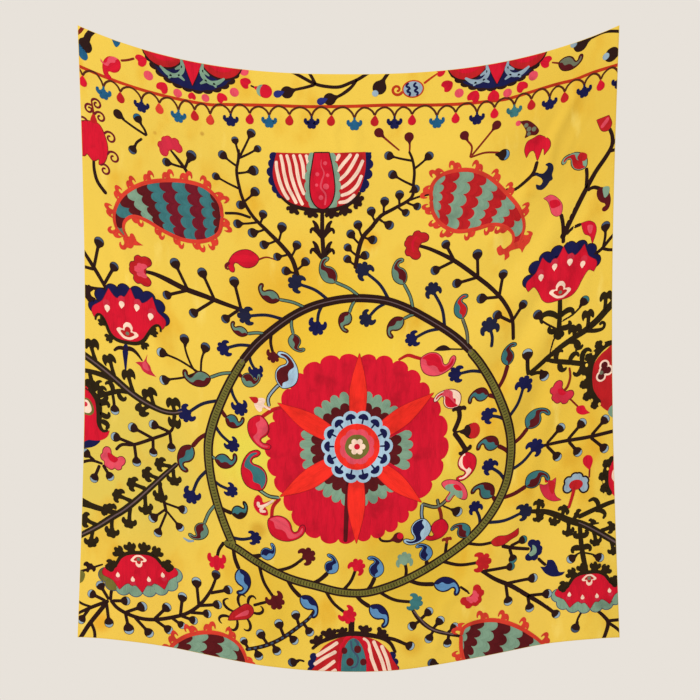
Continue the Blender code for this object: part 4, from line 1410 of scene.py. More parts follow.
def draw_rosette_leaves():
    piece = Piece("rosette_leaves")
    for path, width, thread, light in (
        ([(-20.4, 84.6), (-20.6, 82.4), (-19.0, 80.0), (-17.4, 78.4)], 1.0, "bark", "mist"),
        ([(-17.0, 84.4), (-19.6, 85.4), (-22.4, 87.6), (-23.0, 88.6)], (1.0, 0.9), "red", ""),
        ([(-17.6, 107.2), (-20.5, 107.0), (-23.4, 105.4)], 1.0, "bark", "sage"),
        ([(-17.4, 107.2), (-19.2, 109.6), (-19.6, 112.8)], 0.9, "red", ""),
        ([(12.8, 72.2), (15.2, 71.2), (17.4, 71.9), (19.4, 72.6)], (0.6, 0.9, 0.8), "red", ""),
        ([(18.6, 108.8), (22.8, 110.0), (26.6, 107.2)], 1.0, "bark", "grey"),
        ([(18.8, 108.8), (18.6, 111.4), (19.0, 113.4)], 1.0, "bark", "mist"),
        ([(23.0, 110.0), (22.6, 108.0)], 0.9, "bark", "grey"),
        ([(23.0, 110.2), (23.5, 112.0), (23.6, 114.0)], (0.9, 0.9), "rust", ""),
        ([(24.0, 110.0), (25.4, 110.8), (26.6, 111.6)], 0.45, "bark", ""),
        ([(7.6, 115.4), (8.2, 117.0), (9.8, 117.4), (11.4, 117.2)], 0.6, "bark", ""),
        ([(28.3, 86.0), (28.5, 88.6), (27.0, 92.0)], 1.2, "bark", ""),
        ([(27.0, 92.0), (28.6, 94.4), (30.2, 97.2)], 1.2, "bark", ""),
        ([(27.0, 92.1), (29, 92.0), (31, 92.2)], 0.5, "bark", ""),
        ([(25.0, 119.4), (24.7, 121.4), (24.6, 123.2)], 0.8, "bark", ""),
    ):
        stem(piece, path, width, thread, light or None, 0)
    leaf(piece, (-17.2, 79.4), (-14.0, 71.8), "sky", "maroon", -1.15, "bark", 2)
    leaf(piece, (-22.6, 87.2), (-24.0, 94.8), "crimson", "pink", -1.15, "wine", 2)
    leaf(piece, (-22.0, 105.6), (-27.0, 98.2), "crimson", "teal", 1.15, "bark", 2)
    leaf(piece, (-20.2, 112.8), (-13.0, 117.6), "crimson", "pink", -1.1, "wine", 2)
    leaf(piece, (18.8, 72.2), (25.6, 76.6), "pink", "crimson", -1.15, "wine", 2)
    leaf(piece, (19.0, 112.6), (17.4, 119.0), "sky", "navy", 1.25, "bark", 2)
    leaf(piece, (23.8, 113.4), (22.2, 118.6), "crimson", "crimson", 1.3, "wine", 2)
    leaf(piece, (28.2, 85.4), (24.2, 80.8), "cream", "crimson", -1.25, "wine", 2)
    piece.fill([(25.0, 80.8), (24.0, 82.2), (25.6, 82.8), (27.4, 84.8), (26.8, 83.0), (26.6, 81.6)], "pink",
               5)
    leaf(piece, (29.8, 97.6), (31.0, 103.8), "crimson", "cream", 1.2, "wine", 2)
    piece.fill([(29.4, 98.4), (30.8, 98.6), (31.2, 100.4), (30.2, 101.8), (29.2, 100.4)], "crimson", 5)
    for at, way in (((28.4, 86.2), 0), ((30.0, 97.0), 150)):
        crest(piece, toward(at, way + 180, 1.2), toward(at, way + 8, 0.6), "bark", 3, 1.0)
    piece.fill(place(MUSHROOM, (-22.0, 109.6), (-24.4, 110.8), 1.0), "crimson", 2, 60)
    piece.stroke([(-19.0, 107.9), (-21.4, 109.6), (-22.8, 109.9), (-23.0, 108.8)], (0.5, 0.7, 0.8), "cream",
                 3)
    piece.stroke([(-21.6, 109.7), (-22.4, 111.0), (-21.0, 111.0)], (0.6, 0.8, 0.5), "cream", 3)
    piece.fill(place(MUSHROOM, (-22.4, 84.4), (-24.6, 83.6), 0.8), "cream", 2, 0)
    piece.fill([(-25.6, 82.8, 1), (-23.6, 82.6), (-23.2, 83.6), (-24.2, 84.2)], "red", 3)
    piece.stroke([(-20.2, 85.0), (-21.8, 84.8)], 0.6, "pink", 2)
    shell = place(MUSHROOM, (27.0, 106.6), (28.8, 104.4), 1.35)
    edged(piece, shell, "pink", "wine", 0.2, 1)
    piece.fill(place(MUSHROOM, (26.8, 106.9), (28.2, 105.2), 1.25), "sage", 3)
    piece.fill([(26.7, 105.2), (28.0, 105.4), (28.9, 106.9), (27.4, 106.5)], "crimson", 4)
    berry(piece, (31.6, 92.4), (28, 92.1), 1.95, "bark", None, 1)
    piece.patch(disc((32.1, 92.4), 1.6, 0, 0, 0, 1.25), "red", 2)
    piece.patch(disc((30.5, 92.2), 0.9, 0, 0, 0, 1.7), "bark", 3)
    berry(piece, (27.7, 112.1), (25.4, 110.8), 1.3, "bark", "mist", 1)
    berry(piece, (12.6, 116.7), (10.4, 117.3), 1.35, "maroon", None, 1)
    piece.patch(disc((13.1, 116.3), 0.8), "crimson", 2)
    crest(piece, (25.0, 119.6), (25.0, 118.2), "rust", 1, 0.9)


def draw_palmettes():
    piece = Piece("palmettes")
    palmette(piece, (-57.0, 75.0), (-56.0, 61.5), ("navy",), 0.98, True, 1.0, 0.12)
    stem(piece, [(-57.2, 75.8), (-57.4, 78.4), (-57.3, 82.4)], (1.0, 1.5, 0.9, 0.4), "navy")
    stem(piece, [(-60.4, 78.2), (-59.2, 77.2), (-57.6, 77.0), (-55.8, 76.8), (-54.4, 77.6), (-53.0, 79.2)],
         (0.6, 1.0, 1.2, 0.8, 0.35), "bark")
    bud = [(-54.8, 79.9, 1), (-53.8, 79.5), (-52.7, 79.2), (-51.7, 77.2, 1), (-51.9, 78.9), (-51.0, 80.0),
           (-50.6, 81.2), (-49.4, 82.4, 1), (-51.6, 82.2), (-52.9, 81.6), (-53.6, 80.6)]
    piece.fill(bud, "rose", 1)
    piece.fill([(-53.0, 79.8), (-52.2, 79.2), (-51.2, 81.2), (-52.6, 81.0)], "pink", 2, 90, 0.2)
    palmette(piece, (54.2, 64.0), (55.2, 50.8), ("navy",), 0.96, False, 1.0, 0.14)
    stem(piece, [(54.3, 63.8), (54.3, 68), (54.1, 72.8)], (1.1, 1.3, 1.5), "pine")
    for root, way, size, turn in (((54.1, 68.6), -58, 4.4, -1), ((54.4, 68.4), 60, 3.2, 1),
                                  ((54.0, 71.2), -100, 2.4, 1), ((54.5, 71.0), 100, 2.4, -1)):
        hook(piece, root, way, size, turn, 1.1, "pine")
    piece.patch(disc((54.1, 72.6), 1.3, 0.2, 5), "pine", 1)
    stem(piece, [(53.6, 72.4), (52.6, 74.2), (51.8, 77.0)], (0.6, 0.35))
    stem(piece, [(53.8, 71.4), (51.0, 69.4), (49.0, 67.6)], 0.5)
    berry(piece, (48.7, 66.5), (50.6, 69.2), 1.25)
    stem(piece, [(54.8, 69.6), (57.6, 68.6), (59.9, 66.9)], 0.5)
    berry(piece, (60.7, 65.8), (58.0, 68.4), 1.25, "bark", "teal")
    low = Piece("palmettes_below")
    palmette(low, (-53.3, 127.8), (-51.9, 137.3), ("sage", "sage", "olive"), 1.40, True, 1.3, 0.0, 1.5)
    palmette(low, (60.6, 133.6), (60.6, 142.4), ("sage", "sage", "sage"), 1.36, True, 1.2, 0.0, 1.5)
    stem(low, [(-69, 134.2), (-66.4, 133.4), (-62.0, 131.6)], (0.7, 0.6, 0.4))
    crest(low, (-66.0, 133.6), (-65.0, 131.8), "bark", 1, 0.8)
    low.fill([(-68.5, 133.6), (-66.6, 134.2), (-67.0, 136.2), (-68.5, 136.6)], "olive", 1)
    # the flowers that the side edges cut
    edge = Piece("edge_flowers")
    left = [(-69, 88.8), (-66.0, 89.2), (-64.2, 91.2), (-63.8, 94.4), (-63.9, 97.4), (-62.6, 98.9),
            (-61.2, 98.2, 1), (-61.8, 99.9), (-63.6, 101.1), (-66.4, 101.4), (-69, 101.2)]
    edge.fill(left, "crimson", 1)
    edge.fill([(-69, 100.2), (-66.4, 100.8), (-63.6, 101.0), (-64.8, 102.6), (-67.0, 103.5), (-69, 103.5)],
              "navy", 0)
    edge.fill([(-69, 91.8), (-67.0, 91.3), (-65.7, 92.6), (-65.4, 94.4), (-66.6, 95.4), (-69, 94.6)],
              "olive", 2)
    edge.fill([(-69, 92.2), (-67.2, 91.7), (-66.2, 92.9), (-66.0, 94.2), (-67.0, 94.9), (-69, 94.2)],
              "cream", 3)
    edge.patch(disc((-67.6, 92.8), 0.6), "rose", 4)
    edge.stroke([(-66.8, 88.6), (-64.5, 91.2), (-64.0, 94.4), (-64.0, 97.0), (-63.0, 98.6), (-61.6, 98.3)],
                (1.0, 1.5, 1.6, 1.4, 1.0, 0.5), "pine", 3)
    for at, way in (((-63.9, 92.4), 60), ((-63.8, 94.2), 115), ((-63.8, 96.4), 100)):
        hook(edge, at, way, 2.2, 1 if way < 110 else -1, 1.0, "pine", 3)
    edge.patch(disc((-66.4, 87.8), 1.1), "pine", 1)
    right = [(69, 79.4), (66.0, 79.4), (63.2, 82.0), (62.3, 85.8), (62.8, 89.6), (64.8, 92.8), (67.0, 94.6),
             (69, 95.0)]
    edge.fill(right, "red", 1)
    edge.stroke([(68.8, 77.6), (65.6, 78.2), (62.6, 80.8), (61.6, 84.6), (61.9, 88.4), (63.2, 90.8),
                 (64.6, 92.2)], (0.9, 1.7, 2.1, 2.1, 2.1, 2.0, 1.5), "pine", 2)
    for a, b in ((64.4, 77.6), (61.8, 80.2), (60.4, 83.2), (60.4, 86.6), (61.2, 89.8), (63.2, 92.2)):
        edge.patch(disc((a, b), 0.95, 0.2, 5), "pine", 2)
    for a, b in ((65.6, 77.6), (63.0, 79.4), (61.2, 82.0), (60.6, 84.9), (60.9, 88.2), (62.4, 91.0),
                 (64.4, 92.3)):
        edge.patch(disc((a, b), 0.34, 0, 0, 0, 1.3), "straw", 4)
    for a, b in ((65.8, 82.9), (66.7, 84.3), (64.9, 85.5), (65.6, 84.2)):
        edge.patch(disc((a, b), 1.3), "cream", 3)
        edge.patch(disc((a, b), 0.85), "maroon", 4)
    edge.patch(disc((65.0, 84.6), 0.5), "grey", 5)
    edge.fill([(69, 93.0), (67.2, 93.4), (66.6, 94.8), (67.6, 96.0), (69, 96.2)], "sage", 2)
    edge.fill([(69, 105.4), (66.8, 106.4), (65.6, 109.4), (65.8, 112.4), (67.4, 115.0), (69, 115.4)],
              "crimson", 1)
    edge.stroke([(67.6, 105.6), (65.8, 108.6), (65.6, 112.4), (66.8, 115.0)], (1.1, 1.7, 1.3), "pine", 2)
    for a, b in ((66.0, 107.2), (64.9, 110.2), (65.2, 113.2)):
        edge.patch(disc((a, b), 1.0, 0.2, 5), "pine", 2)
        edge.patch(disc((a + 0.2, b + 1.3), 0.3, 0, 0, 0, 1.3), "straw", 4)
    edge.fill([(69, 108.4), (67.6, 109.0), (67.2, 110.8), (68.0, 112.0), (69, 112.2)], "cream", 2)


def draw_foliage():
    left = Piece("foliage_left")
    foliage(left, [(-69, 80.4), (-66, 81.8), (-63, 83.4), (-60, 85.2), (-56, 87.7), (-52, 89.5),
                   (-48, 90.6), (-45, 90.5), (-42.6, 89.6)],
            [(-66.4, 77.9, -65, 82.0), (-61.4, 80.6, -60.2, 84.8), (-56.7, 83.4, -55.2, 88),
             (-50.9, 86.8, -50.0, 90.0), (-45.3, 88.1, -44.5, 90.2), (-44.9, 92.9, -44.6, 90.8),
             (-53.0, 91.6, -51.2, 90.0)], (1.4, 1.5, 1.4, 1.0), "pine", "mauve", 2.8)
    stem(left, [(-69, 84.6), (-66, 84.6), (-63, 84.9), (-60.0, 85.6)], (1.0, 1.3, 1.5), "pine")
    stem(left, [(-66.6, 84.8), (-66.2, 86.4), (-65.8, 87.6)], (1.0, 1.2), "pine")
    left.patch(disc((-66.4, 88.2), 1.55, 0.35, 5), "pine", 1)
    stem(left, [(-56.4, 87.8), (-58.6, 87.9), (-61.2, 88.9), (-63.6, 90.0), (-66.2, 91.2)],
         (1.1, 1.2, 1.1, 1.3), "pine")
    for root, way, size, turn in (((-60.6, 88.8), -10, 2.6, -1), ((-59.2, 88.2), 150, 2.2, -1),
                                  ((-62.2, 89.4), -60, 3.2, 1), ((-62.0, 89.6), -150, 2.4, 1),
                                  ((-64.0, 90.2), 10, 2.4, 1)):
        hook(left, root, way, size, turn, 0.95, "pine")
    stem(left, [(-60.6, 89.0), (-60.3, 90.6), (-60.1, 92.4)], 0.8, "pine")
    berry(left, (-60.0, 92.9), (-60.3, 90.4), 1.2, "bark", "mist")
    foliage(left, [(-43.8, 103.1), (-47, 106.6), (-50, 110.0), (-53.6, 114), (-57, 117.3), (-60, 119.6),
                   (-64, 122.6), (-69, 125.6)],
            [(-48.0, 104.2, -45.2, 104.3), (-51.2, 107.4, -48.4, 108.1), (-54.9, 110.5, -51.6, 111.2),
             (-58.5, 114, -55, 115.0), (-66.8, 121.1, -63.8, 122.2), (-44.6, 107.3, -45.0, 104.6),
             (-48.1, 112.2, -48.2, 108.6), (-51.6, 116.0, -52.0, 112.4), (-55.7, 120.1, -55.6, 116.2),
             (-60.0, 123.1, -60.2, 119.8), (-65.2, 126.1, -65.0, 123.4)], (0.9, 1.1, 1.3, 1.3, 1.1), "pine",
            "mauve", 2.7, True)
    stem(left, [(-58.4, 118.3), (-61.0, 118.2), (-64.6, 117.7), (-69, 116.6)], (0.9, 1.3, 1.5, 2.4), "pine")
    crest(left, (-60.6, 118.6), (-60.9, 116.4), "pine", 1, 0.8)
    crest(left, (-62.4, 117.6), (-61.4, 119.2), "pine", 1, 0.6)
    right = Piece("foliage_right")
    foliage(right, [(46.2, 115.8), (50, 116.6), (53, 118), (56, 119.8), (60, 121.6), (64, 124.2),
                    (69, 127.6)],
            [(48.6, 114.5, 48.2, 116.2), (48.4, 117.6, 48.0, 116.0), (52.4, 119.3, 52.8, 117.8),
             (54.8, 117.1, 54.2, 118.8), (55.8, 122.5, 56.0, 120.0), (62.6, 125.8, 62.2, 123.2),
             (66.4, 122.9, 63.8, 123.6), (67.0, 128.4, 66.6, 126.0)], (0.8, 1.2, 1.4, 1.3, 1.2), "pine", "",
            2.2, True)
    right.stroke([(58.4, 120.7), (60, 121.6), (64, 124.2), (69, 127.6)], (0.2, 0.4, 0.4), "mauve", 2)
    stem(right, [(58.2, 119.4), (62, 118.2), (66.0, 117.0), (69, 116.4)], (1.2, 1.2, 1.0), "pine")
    stem(right, [(63.6, 118.0), (63.4, 116.4), (62.4, 115.4), (61.0, 115.8)], (1.1, 1.2, 0.6), "pine")
    stem(right, [(62.6, 118.2), (64.4, 118.6), (65.2, 119.6), (64.6, 120.6)], (1.0, 1.2, 0.6), "pine")
    crest(right, (58.9, 119.4), (57.4, 118.4), "pine", 1, 0.9)
    stem(right, [(60.0, 121.6), (62.4, 121.5), (63.6, 121.5)], (0.6, 0.7, 0.4), "pine")
    crest(right, (61.4, 121.6), (62.2, 120.4), "pine", 1, 0.7)
    foliage(right, [(46.2, 81.0), (48.6, 79.6), (51.4, 77.8), (55, 75.8), (58, 74.4), (61, 73.2),
                    (64, 71.4), (66.4, 69.4), (69, 67.4)],
            [(58.0, 72.4, 58.2, 74.8), (61.8, 69.5, 61.6, 73.0), (66.2, 66.1, 66.0, 69.8)],
            (0.9, 1.1, 1.2, 1.4, 1.5), "pine", "", 2.6)
    stem(right, [(61.0, 73.4), (63.6, 73.9), (65.4, 73.8), (65.9, 72.8), (65.2, 72.2), (64.6, 72.8)],
         (0.9, 1.1, 0.8, 0.8), "pine")
    stem(right, [(50.6, 78.2), (53, 79.2), (57, 80.4), (61, 81.7), (64, 82.6)], (1.0, 1.3, 1.3, 1.0),
         "pine")
    for root, way, size, turn in (((53.6, 79.4), 0, 2.6, 1), ((54.4, 79.6), 175, 2.4, -1),
                                  ((56.8, 80.4), 30, 2.6, 1), ((60.2, 81.4), 5, 3.4, 1),
                                  ((60.0, 81.6), 200, 2.6, 1), ((56.4, 75.2), 105, 3.2, 1),
                                  ((58.4, 75.4), 160, 2.2, -1)):
        hook(right, root, way, size, turn, 1.0, "pine")
    stem(right, [(46.2, 81.2), (46.0, 79.4), (46.0, 77.0)], 1.0, "pine")
    berry(right, (46.0, 75.9), (46.0, 79), 1.4, "bark", "mist")
    stem(right, [(46.6, 81.2), (48.6, 81.1), (50.0, 81.6)], 0.9, "pine")
    berry(right, (50.3, 82.3), (49.4, 80.6), 1.3, "bark", "mist")
    stem(right, [(58.7, 121.4), (58.8, 124), (59.0, 127), (59.4, 130), (60.0, 133.4)], (1.1, 1.2, 1.3, 1.2),
         "pine")
    for b, size in ((124.2, 1.7), (127.4, 2.1)):
        for side in (-1, 1):
            hook(right, (58.9, b), 74 * side, size, -side if b < 126 else side, 1.1, "pine")
    for at, foot in (((56.3, 129.5), (58.8, 128.2)), ((63.4, 130.0), (59.6, 128.4))):
        stem(right, [foot, ((at[0] + foot[0]) / 2, (at[1] + foot[1]) / 2 - 0.2), at], 0.45, "pine")
        berry(right, at, foot, 1.15, "bark", "mist")


def berries(piece, items, cap="", thread="bark", width=0.8):
    """Berries on their own stalks: centre, foot of the stalk and radius."""
    for a, b, foot_a, foot_b, radius in items:
        low = "mist" if b > 80 else "slate"
        stem(piece, [(foot_a, foot_b), ((a + foot_a) / 2, (b + foot_b) / 2), (a, b)], width, thread)
        berry(piece, (a, b), (foot_a, foot_b), radius, "bark", cap or low)


def draw_left_sprays():
    piece = Piece("left_sprays")
    stem(piece, [(-69, 54.2), (-66, 58), (-64.2, 60.4), (-62.3, 63.2)], (0.8, 1.1, 0.9))
    stem(piece, [(-69, 59.2), (-65.4, 59.2)], 0.8)
    stem(piece, [(-69, 63.9), (-65.6, 63.9), (-62.4, 63.4)], 0.8)
    berries(piece, [(-64.0, 52.1, -65.4, 58.6, 1.3), (-60.2, 57.2, -62.8, 62.2, 1.2)])
    crest(piece, (-66.4, 64.0), (-68.4, 66.4), "bark", 1, 0.9)
    carnation(piece, (-53.2, 56.3), (-48, 56.5), 3.5, "red", "pink", "wine")
    stem(piece, [(-52.6, 56.4), (-50, 56.4), (-47, 57.0), (-42, 58.4), (-37, 59.2), (-32, 60.2),
                 (-26.6, 61.2)], (0.8, 1.4, 1.4, 1.2, 0.9), "bark")
    berries(piece, [(-44.5, 52.5, -41.2, 58.6, 1.35), (-37.5, 53.4, -34.4, 59.7, 1.3),
                    (-29.3, 54.2, -27.6, 61.0, 1.3), (-46.6, 61.0, -41.2, 58.6, 1.15),
                    (-39.8, 64.1, -34.4, 59.7, 1.2), (-31.6, 64.0, -28.0, 61.0, 1.15)])
    stem(piece, [(-18.6, 47.4), (-21, 47.0), (-23.2, 47.9)], (0.3, 0.5), "rust")
    leaf(piece, (-23.0, 47.6), (-30.8, 48.6), "crimson", "crimson", -0.95, "wine")
    hook(piece, (-30.4, 49.6), 225, 1.7, -1, 0.6, "wine", 3)
    for path in ([(-42.4, 71.8), (-41.6, 75), (-40, 78.2), (-38.4, 79.2)],
                 [(-36.9, 72.6), (-37.8, 75.6), (-38, 79)], [(-47.6, 76.0), (-43.4, 76.9), (-38.6, 78.9)],
                 [(-46.8, 82.5), (-42.4, 81.0), (-38.6, 78.9)]):
        stem(piece, path, 0.55)
    for at, foot, cap in (((-42.2, 71.2), (-41.6, 75), "slate"), ((-36.8, 72.2), (-37.8, 75.6), "slate"),
                          ((-48.0, 75.9), (-43, 76.9), "mist"), ((-47.3, 82.7), (-43, 81.2), "mist")):
        berry(piece, at, foot, 1.25, "bark", cap)
    stem(piece, [(-44.6, 93.0), (-45.9, 95.6), (-50.1, 98.1), (-54.9, 100.6), (-58, 101.2), (-59.6, 102.8)],
         (0.7, 0.85, 0.75))
    berries(piece, [(-50.0, 94.6, -45.9, 95.6, 1.2), (-55.3, 96.4, -50.1, 98.1, 1.25),
                    (-59.7, 99.6, -54.9, 100.6, 1.2), (-45.4, 99.4, -45.9, 95.6, 1.1),
                    (-50.0, 101.6, -50.1, 98.1, 1.1), (-54.2, 104.8, -54.9, 100.6, 1.15)])
    carnation(piece, (-60.4, 105.3), (-58.6, 101.6), 2.9, "pink", "", "wine")
    piece.fill([(-61.6, 103.8), (-60.2, 104.2), (-58.9, 105.0), (-59.8, 106.0), (-61.2, 105.4)], "crimson",
               3)
    stem(piece, [(-69, 107.4), (-65.8, 106.4), (-62.8, 106.8)], (0.8, 0.6))
    berries(piece, [(-67.2, 104.8, -64.9, 106.4, 1.15), (-60.9, 109.6, -62.8, 107, 1.1),
                    (-64.9, 110.6, -63.6, 107.2, 1.15)])
    stem(piece, [(-48.4, 108.8), (-47.4, 112), (-46.4, 116.2)], (0.7, 0.9, 0.8))
    berries(piece, [(-42.2, 114.5, -46.8, 113.8, 1.1), (-49.7, 118.1, -46.7, 115.4, 1.2),
                    (-48.4, 121.6, -46.4, 116.2, 1.1), (-42.9, 119.1, -46.3, 115.8, 1.1)],
            "mist", "bark", 0.6)


def draw_right_sprays():
    piece = Piece("right_sprays")
    carnation(piece, (17.2, 43.4), (21.2, 45.4), 3.3, "red", "", "wine")
    piece.stroke([(17.6, 41.4), (16.6, 42.4), (16.4, 43.8), (16.8, 45.2)], (0.4, 0.7, 0.4), "crimson", 3)
    stem(piece, [(17.6, 43.6), (21.5, 45.2), (27.1, 48.6), (33, 53.6), (37, 57.5), (40, 61.5), (42, 66),
                 (42.4, 71.5)], (0.8, 1.1, 1.1, 1.0, 0.9), "bark")
    berries(piece, [(24.9, 44.2, 27.1, 48.6, 1.15), (33.0, 47.9, 33.2, 53.7, 1.3),
                    (39.7, 54.2, 38.7, 59.8, 1.2), (44.8, 63.0, 41.9, 66.8, 1.15),
                    (22.2, 50.4, 27.1, 48.6, 1.2), (27.8, 54.4, 33.2, 53.7, 1.2),
                    (34.2, 59.3, 38.7, 59.8, 1.3), (38.2, 64.3, 41.9, 66.8, 1.2)])
    carnation(piece, (54.6, 87.6), (57.4, 85.0), 2.9, "rose", "", "wine")
    piece.fill([(53.9, 86.4), (54.9, 86.6), (55.8, 87.8), (54.9, 88.2), (53.9, 87.5)], "crimson", 3)
    stem(piece, [(56.8, 81.6), (57.0, 84.0), (56.3, 86.2), (55.3, 87.2)], (0.5, 0.65), "rust", None, 3)
    stem(piece, [(56.8, 89.4), (58.0, 90.8), (59.2, 92.2)], 0.45, "rust")
    piece.fill([(58.6, 91.9), (60.3, 91.8), (61.0, 93.0), (62.0, 94.0, 1), (60.0, 94.1), (58.6, 93.2)],
               "crimson", 1)
    stem(piece, [(49.6, 99.9), (55, 99.8), (61.5, 99.9), (69, 99.4)], (0.8, 0.95, 0.9))
    berries(piece, [(54.4, 96.3, 50.8, 99.6, 1.2), (59.8, 96.2, 56.2, 99.6, 1.25),
                    (65.8, 96.3, 62.2, 99.6, 1.2), (53.4, 103.3, 50.8, 100.1, 1.2),
                    (58.6, 103.1, 56.4, 100.1, 1.2), (65.4, 103.3, 62.0, 100.1, 1.2)])
    carnation(piece, (58.1, 110.9), (57.6, 114.8), 2.9, "mist", "", "bark", 1, 0.42)
    piece.patch(disc((58.0, 111.2), 1.75, 0, 0, 0, 0.72), "red", 3)
    stem(piece, [(57.9, 110.4), (57.1, 113.6), (56.0, 116.8)], (0.9, 0.7), "red", None, 3)
    stem(piece, [(61.4, 110.0), (61.6, 107.6)], 0.45, "rust")
    piece.fill(place(DROP, (61.2, 106.0), (60.9, 104.3), 0.8), "crimson", 1)
    stem(piece, [(50.4, 107.6), (50.6, 109.4)], 0.7, "crimson")
    flame = [(48.8, 109.4, 1), (50.0, 109.9), (51.0, 109.6), (50.8, 108.4), (51.8, 109.2), (53.0, 108.6, 1),
             (52.8, 110.4), (52.5, 112.0), (53.0, 113.4), (54.2, 114.4, 1), (52.2, 114.3), (50.4, 113.2),
             (49.3, 111.4)]
    edged(piece, flame, "rose", "wine")
    piece.fill([(51.2, 109.2), (52.6, 109.6), (52.6, 111.2), (52.1, 112.6), (51.3, 111.2)], "red", 2)
    stem(piece, [(38.8, 122.9), (40.6, 123.7), (43, 124.5), (46.0, 125.3)], (1.0, 0.9, 0.8))
    carnation(piece, (47.0, 125.8), (43.4, 125.0), 2.4, "navy", "", "navy", 0)
    piece.fill([(46.7, 124.4), (47.6, 125.2), (47.6, 126.6), (46.3, 127.2), (45.7, 126.4), (46.6, 125.7)],
               "sage", 3, 0, 0.2)
    berries(piece, [(44.3, 122.6, 41.0, 123.5, 1.1), (41.6, 126.9, 40.8, 124.0, 1.1)], "teal")
    berries(piece, [(41.0, 128.7, 34.0, 128.4, 1.1)], "teal")
    stem(piece, [(48.0, 128.0), (49.0, 129.2), (50.0, 130.2)], 0.75)
    piece.fill([(48.5, 130.3, 1), (49.9, 130.4), (50.4, 128.9, 1), (51.8, 129.2), (52.7, 130.8),
                (53.2, 132.3), (54.7, 132.5, 1), (53.8, 133.3), (51.6, 133.3), (49.8, 132.2)], "navy", 1)
    stem(piece, [(33.4, 128.0), (37, 131), (41, 133.6), (45, 136.8), (48.5, 139.6), (51.6, 142.4)],
         (0.8, 1.1, 1.1, 0.8))
    berries(piece, [(46.6, 132.8, 39.7, 132.8, 1.2), (50.1, 137.4, 45.2, 137.0, 1.2),
                    (40.2, 137.3, 39.7, 132.8, 1.15), (45.6, 140.1, 45.2, 137.0, 1.15),
                    (52.1, 142.8, 49.6, 140.4, 1.1)])


